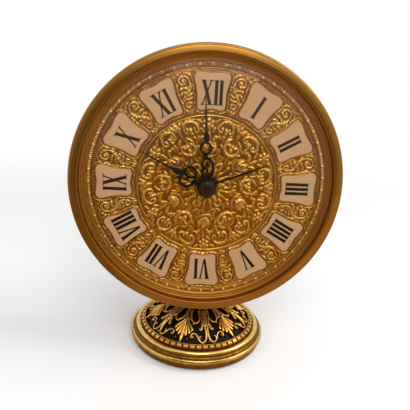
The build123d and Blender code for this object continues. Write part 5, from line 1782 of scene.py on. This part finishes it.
@dataclass
class Hands:
    """The pierced minute and hour hands, the thin alarm hand and the hub."""

    minute_bearing: float = -3.9
    hour_bearing: float = 297.0
    alarm_bearing: float = 68.3
    alarm_length: float = 35.0
    minute_blade: Triple = (24.6, 48.9, 1.6)
    hour_blade: Triple = (15.6, 40.2, 1.75)
    alarm_back: float = 22.3
    pitch: float = 1.85
    collet: float = 1.4
    hub_radius: float = 5.0
    cap_radius: float = 4.6
    cap_rise: float = 2.5
    cap_edge: float = 0.3
    thickness: float = 0.8
    pierced_lift: float = 0.65
    alarm_lift: float = 0.55
    ring_points: int = 12

    def wire(self, points: Sequence[Pair], width: Any, level: float, closed: bool = False) -> Shape:
        """Makes one wire of a hand, drawn pointing to 12.

        Args:
            points: Plane points it passes through.
            width: Half width, one number or several spread along it.
            level: Height of its middle on the dial axis.
            closed: Whether it is a ring.

        Returns:
            The wire.
        """
        path = smooth(points, 6, closed)
        if closed:
            path = np.vstack([path, path[:1]])
        body = np.column_stack([path, np.full(len(path), level)])
        return tube(body, width, self.thickness / 2.0, np.array([0.0, 0.0, 1.0]))

    def blade(self, base: float, tip: float, leaf: float, level: float) -> Shape:
        """Makes the leaf and the needle of a hand.

        Args:
            base: Where it starts on the hand.
            tip: Where the needle ends.
            leaf: Half width of the leaf.
            level: Height of its middle on the dial axis.

        Returns:
            The blade.
        """
        points = [(0.0, base + share * (tip - base)) for share in (0.0, 0.06, 0.12, 0.19, 0.3, 0.7, 1.0)]
        return self.wire(points, (0.6, 0.85 * leaf, leaf, 0.75 * leaf, 0.62, 0.45, 0.2), level)

    def ring(self, centre: Pair, wide: float, tall: float, lean: float = 0.0) -> list[Pair]:
        """Lists points round an oval, to draw a loop through.

        Args:
            centre: Its middle.
            wide: Half width.
            tall: Half height.
            lean: How far it leans, in degrees.

        Returns:
            The points.
        """
        c, s = math.cos(math.radians(lean)), math.sin(math.radians(lean))
        made = []
        for k in range(self.ring_points):
            t = 2 * math.pi * k / self.ring_points
            out, up = wide * math.cos(t), tall * math.sin(t)
            made.append((centre[0] + out * c - up * s, centre[1] + out * s + up * c))
        return made

    def pierced_hand(self, wires: Sequence[Wire], ring: Sequence[Pair], half: float, blade: Sequence[float],
                     step: int) -> Shape:
        """Builds a pierced hand: curled wires, a ring, a leaf and a needle.

        Args:
            wires: Points and half widths of its wires.
            ring: Points round its ring.
            half: Half width of the ring's wire.
            blade: Start of the leaf, end of the needle and half width of the leaf.
            step: Its place on the hub, counted from the alarm hand's.

        Returns:
            The hand, pointing to 12.
        """
        level = self.alarm_back + step * self.pitch + self.pierced_lift
        drawn = [self.wire(points, width, level) for points, width in wires]
        return join([*drawn, self.wire(ring, half, level, True), self.blade(*blade, level)])

    def alarm_hand(self) -> Shape:
        """Builds the thin straight alarm hand, pointing to 12."""
        points = [(0.0, 3.5), (0.0, 14.0), (0.0, 26.0), (0.0, self.alarm_length)]
        return self.wire(points, (0.65, 0.6, 0.55, 0.3), self.alarm_back + self.alarm_lift)

    def collar(self, radius: float, bore: float, low: float) -> Shape:
        """Turns one collet of the hub.

        Args:
            radius: Its radius.
            bore: Radius of its bore.
            low: Height of its back on the dial axis.

        Returns:
            The collet.
        """
        high = low + self.collet
        return lathe([(bore, low), (radius - 0.25, low), (radius, low + 0.25), (radius, high - 0.3),
                      (radius - 0.3, high), (bore, high)], HUB_STEPS)

    def cap(self) -> Shape:
        """Turns the hub's rounded cap.

        Returns:
            The cap.
        """
        low = self.alarm_back + 2 * self.pitch + self.collet
        rest, r = low + self.cap_edge, self.cap_radius
        turns = np.linspace(0.0, math.pi / 2, 16)[:-1]
        dome = [(r * math.cos(t), rest + self.cap_rise * math.sin(t)) for t in turns]
        profile = [(0.0, low), (r - 0.2, low), *dome, (0.0, rest + self.cap_rise)]
        return lathe(profile, HUB_STEPS, closed=False)

    def build(self) -> list[Object]:
        """Builds and dresses the hands.

        Returns:
            Their pieces.
        """
        pear, loop = self.ring((-0.3, 21.9), 2.75, 3.1), self.ring((2.9, 12.0), 2.8, 3.1, -18.0)
        minute = self.pierced_hand(MINUTE_WIRES, pear, 0.6, self.minute_blade, 2)
        hour = self.pierced_hand(HOUR_WIRES, loop, 0.65, self.hour_blade, 1)
        sets = (
            ("minute", minute, self.minute_bearing, self.hub_radius - 0.2, 1.73, 2),
            ("hour", hour, self.hour_bearing, self.hub_radius + 0.1, 2.53, 1),
            ("alarm", self.alarm_hand(), self.alarm_bearing, self.hub_radius + 0.3, 3.33, 0),
        )
        made = []
        for name, shape, bearing, radius, bore, step in sets:
            collar = self.collar(radius, bore, self.alarm_back + step * self.pitch)
            made.append(add_piece(f"{name}_hand_pierced", join([shape.turned(-bearing), collar]),
                                  Finishes.hand_black, "black_steel", [f"{name}_hand"], f"{name}_hand_set"))
        made.append(add_piece("hub_cap", self.cap(), Finishes.hub_brown, "black_steel", ["hand_cap"],
                              "minute_hand_set"))
        return made


# The movement and the controls


@dataclass
class Movement:
    """The parts inside the case and the controls on its back.

    Attributes:
        arrows: A control, and its arrow's radius, bearing of the tail and degrees from tail to head.
    """

    frame: Loaded
    brass: tuple[str, ...] = (
        "carrier_plate", "carrier_posts", "front_plate", "back_plate", "plate_pillars", "balance_cock",
        "cannon_pinion", "hour_wheel", "minute_wheel", "alarm_wheel", "time_barrel", "alarm_barrel",
        "intermediate_wheel", "centre_wheel", "third_wheel", "fourth_wheel", "escape_wheel", "balance_wheel",
        "alarm_star_wheel")
    steel: tuple[str, ...] = (
        "time_click", "alarm_click", "sounding_post", "hand_setting_arbor", "alarm_setting_arbor",
        "time_mainspring", "alarm_mainspring", "time_barrel_arbor", "alarm_barrel_arbor", "pallet_lever",
        "hairspring", "regulator_lever", "alarm_hammer")
    controls: tuple[str, ...] = (
        "time_winding_key", "alarm_winding_key", "hand_setting_knob", "alarm_setting_knob", "stop_button")
    arrows: tuple[tuple[str, float, float, float], ...] = (
        ("time_winding_key", 9.5, 60.0, 60.0), ("alarm_winding_key", 9.5, 60.0, 60.0),
        ("hand_setting_knob", 8.0, 130.0, -80.0), ("alarm_setting_knob", 8.0, 50.0, 80.0))
    cover_back: float = -19.4
    mark_half: float = 0.35
    mark_relief: float = 0.05
    head_half: float = 1.3
    head_length: float = 2.6
    scale_reach: float = 12.6
    scale_bearing: float = 60.0
    scale_step: float = 8.0
    scale_steps: int = 4
    long_mark: float = 2.4
    short_mark: float = 1.5
    scale_half: float = 0.2

    def place(self, node: str) -> Array:
        """Finds the middle of a solid, seen along the dial axis.

        Args:
            node: The solid's name.

        Returns:
            Its place to the right of the case's axis and above it.
        """
        made = self.frame["nodes"][node]
        corners = np.array([made.matrix_world @ Vector(c) for c in made.bound_box]) / MM
        middle = (corners.min(0) + corners.max(0)) / 2.0
        return np.array([middle[0], middle[2] - DIAL_HEIGHT])

    def arrow(self, centre: Array, radius: float, start: float, sweep: float) -> list[Array]:
        """Outlines a curved arrow.

        Args:
            centre: Middle of its curve.
            radius: Radius of its curve.
            start: Bearing of its tail in degrees, counter-clockwise from the right.
            sweep: Degrees from tail to head, negative for clockwise.

        Returns:
            Outlines of the shaft and the head, counter-clockwise.
        """
        turn = np.radians(start + sweep * np.linspace(0.0, 1.0, 16))
        ray = np.stack([np.cos(turn), np.sin(turn)], 1)
        shaft = np.vstack([ray * (radius + self.mark_half), ray[::-1] * (radius - self.mark_half)])
        tip = turn[-1] + math.copysign(self.head_length / radius, sweep)
        point = (radius * math.cos(tip), radius * math.sin(tip))
        head = np.array([ray[-1] * (radius + self.head_half), point, ray[-1] * (radius - self.head_half)])
        return [centre + (part if sweep > 0 else part[::-1]) for part in (shaft, head)]

    def marks(self) -> Shape:
        """Draws the filled engraving on the rear cover: setting and winding arrows and the regulator's scale.

        Returns:
            The engraving.
        """
        outlines: list[Array] = []
        for node, radius, start, sweep in self.arrows:
            outlines += self.arrow(self.place(node), radius, start, sweep)
        balance = self.place("balance_wheel")
        for k in range(-self.scale_steps, self.scale_steps + 1):
            turn = math.radians(self.scale_bearing + self.scale_step * k)
            ray = np.array([math.cos(turn), math.sin(turn)])
            side = np.array([-ray[1], ray[0]]) * self.scale_half
            length = self.short_mark if k % self.scale_steps else self.long_mark
            near, far = ray * self.scale_reach, ray * (self.scale_reach + length)
            outlines.append(balance + np.array([near - side, far - side, far + side, near + side]))
        low, high = self.cover_back - self.mark_relief, self.cover_back + self.mark_relief
        return join(slab(outline, low, high) for outline in outlines)

    def build(self) -> list[Object]:
        """Dresses the movement and the controls.

        Returns:
            Their pieces.
        """
        return [
            *dress(self.frame, Finishes.wheel_brass, *self.brass),
            *dress(self.frame, Finishes.bare_steel, *self.steel),
            *dress(self.frame, Finishes.key_brass, *self.controls),
            add_piece("rear_engraving", self.marks(), Finishes.filled_black, "dark_enamel"),
        ]


# The studio


@dataclass
class Studio:
    """A white sweep, soft lights, cards to mirror, a white surround and the camera at the photograph's angle.

    Attributes:
        surround: Strength of the surround's light, apart from what the camera, gloss and glass see.
        card_sides: Left edge, seam and right edge of the cards on the floor; these and below in metres.
        lamps: Name, place, side and power in watts of each soft light.
    """

    azimuth: float = -3.73
    elevation: float = 17.86
    distance: float = 295.0
    roll: float = 3.24
    target: Triple = (1.08, 0.0, 87.93)
    lens: float = 42.98
    sensor: float = 36.0
    nearest: float = 0.01
    floor_half: float = 0.8
    surround: float = 0.6
    white: str = "#FFFFFF"
    card_sides: Triple = (-0.4, -0.06, 0.4)
    card_ends: Pair = (-0.32, 0.2)
    card_lift: float = 0.0002
    flag_back: float = -0.42
    flag_height: float = 0.34
    flag_top_half: float = 0.24
    lamps: tuple[tuple[str, Triple, float, float], ...] = (
        ("key_right", (1.2, -0.1, 1.1), 0.8, 9.0), ("front_top", (0.1, -0.95, 1.0), 0.8, 8.0))

    def sheet(self, name: str, corners: Sequence[Sequence[float]], finish: Finish) -> Object:
        """Makes one flat sheet of the studio.

        Args:
            name: Its name.
            corners: Its four corners, in metres.
            finish: Its finish.

        Returns:
            The sheet.
        """
        mesh = bpy.data.meshes.new(name)
        mesh.from_pydata([tuple(c) for c in corners], [], [(0, 1, 2, 3)])
        mesh.materials.append(finish.material())
        made = add_object(name, mesh)
        return made

    @staticmethod
    def level(left: float, right: float, front: float, back: float, z: float) -> list[tuple[float, ...]]:
        """Returns the corners of a level rectangle."""
        return [(left, front, z), (right, front, z), (right, back, z), (left, back, z)]

    def cards(self) -> None:
        """Sets a dark card behind the camera and two warm ones on the floor, which only gloss shows; the left
        warm one is darker, as painted shade.
        """
        left, seam, right = self.card_sides
        front, back = self.card_ends
        top, half = self.flag_height, self.flag_top_half
        flag = [(left, front, 0.0), (right, front, 0.0), (half, self.flag_back, top),
                (-half, self.flag_back, top)]
        rest = (front, back, self.card_lift)
        for made in (
                self.sheet("black_flag", flag, Finishes.flag_cloth),
                self.sheet("buff_card", self.level(seam, right, *rest), Finishes.buff_card),
                # The left card is the buff card made darker, as painted shade.
                self.sheet("shade_card", self.level(left, seam, *rest), Finishes.shade_card)):
            made.visible_camera = False
            made.visible_diffuse = False
            made.visible_shadow = False

    def world(self) -> None:
        """Sets a white surround for the camera, gloss and glass, and a gentler light for everything else."""
        made = bpy.data.worlds.new("studio")
        bpy.context.scene.world = made
        made.use_nodes = True
        tree = made.node_tree
        tree.nodes.clear()
        path = add_node(tree, "LightPath")
        seen = path.outputs["Is Camera Ray"]
        for ray in ("Is Glossy Ray", "Is Transmission Ray"):
            seen = add_node(tree, "Math", {"operation": "MAXIMUM"}, {0: seen, 1: path.outputs[ray]})
        white = linear(self.white)
        soft = add_node(tree, "Background", {"Color": white, "Strength": self.surround})
        full = add_node(tree, "Background", {"Color": white, "Strength": 1.0})
        mixed = add_node(tree, "MixShader", links={0: seen, 1: soft, 2: full})
        add_node(tree, "OutputWorld", links={"Surface": mixed})

    def lamp(self, name: str, place: Sequence[float], size: float, power: float) -> None:
        """Hangs one square soft light that points at the clock.

        Args:
            name: Its name.
            place: Where it hangs, in metres.
            size: Its side, in metres.
            power: Its power in watts.
        """
        light = bpy.data.lights.new(name, "AREA")
        light.size = size
        light.energy = power
        light.color = linear(self.white)[:3]
        made = add_object(name, light)
        made.location = place
        aim = Vector((0.0, 0.0, DIAL_HEIGHT * MM))
        made.rotation_euler = (aim - Vector(place)).to_track_quat("-Z", "Y").to_euler()

    def camera(self) -> None:
        """Sets the camera at the photograph's viewing angle."""
        az, el, roll = (math.radians(v) for v in (self.azimuth, self.elevation, self.roll))
        back = Vector((math.sin(az) * math.cos(el), -math.cos(az) * math.cos(el), math.sin(el)))
        flat = (-back).cross(Vector((0.0, 0.0, 1.0))).normalized()
        up = flat.cross(-back)
        right = flat * math.cos(roll) + up * math.sin(roll)
        upright = right.cross(-back)
        data = bpy.data.cameras.new("camera")
        data.lens = self.lens
        data.sensor_width = self.sensor
        data.clip_start = self.nearest
        made = add_object("camera", data)
        turn = Matrix((right, upright, back)).transposed().to_4x4()
        made.matrix_world = Matrix.Translation((Vector(self.target) + back * self.distance) * MM) @ turn
        bpy.context.scene.camera = made

    def build(self) -> None:
        """Builds the studio."""
        bpy.context.scene.view_settings.view_transform = "Standard"
        half = self.floor_half
        self.sheet("floor", self.level(-half, half, -half, half, 0.0), Finishes.paper)
        self.cards()
        self.world()
        for lamp in self.lamps:
            self.lamp(*lamp)
        self.camera()


def main() -> None:
    """Builds the clock and its studio in order, and reports each piece."""
    logging.basicConfig(level=logging.INFO, format="%(name)s: %(message)s")
    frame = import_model()
    for assembly in (Stand(frame), Case(frame), Dial(), Hands(), Movement(frame)):
        for piece in assembly.build():
            LOG.info("%s: %s, %d faces", type(assembly).__name__, piece.name, len(piece.data.polygons))
    Studio().build()


if __name__ == "__main__":
    main()
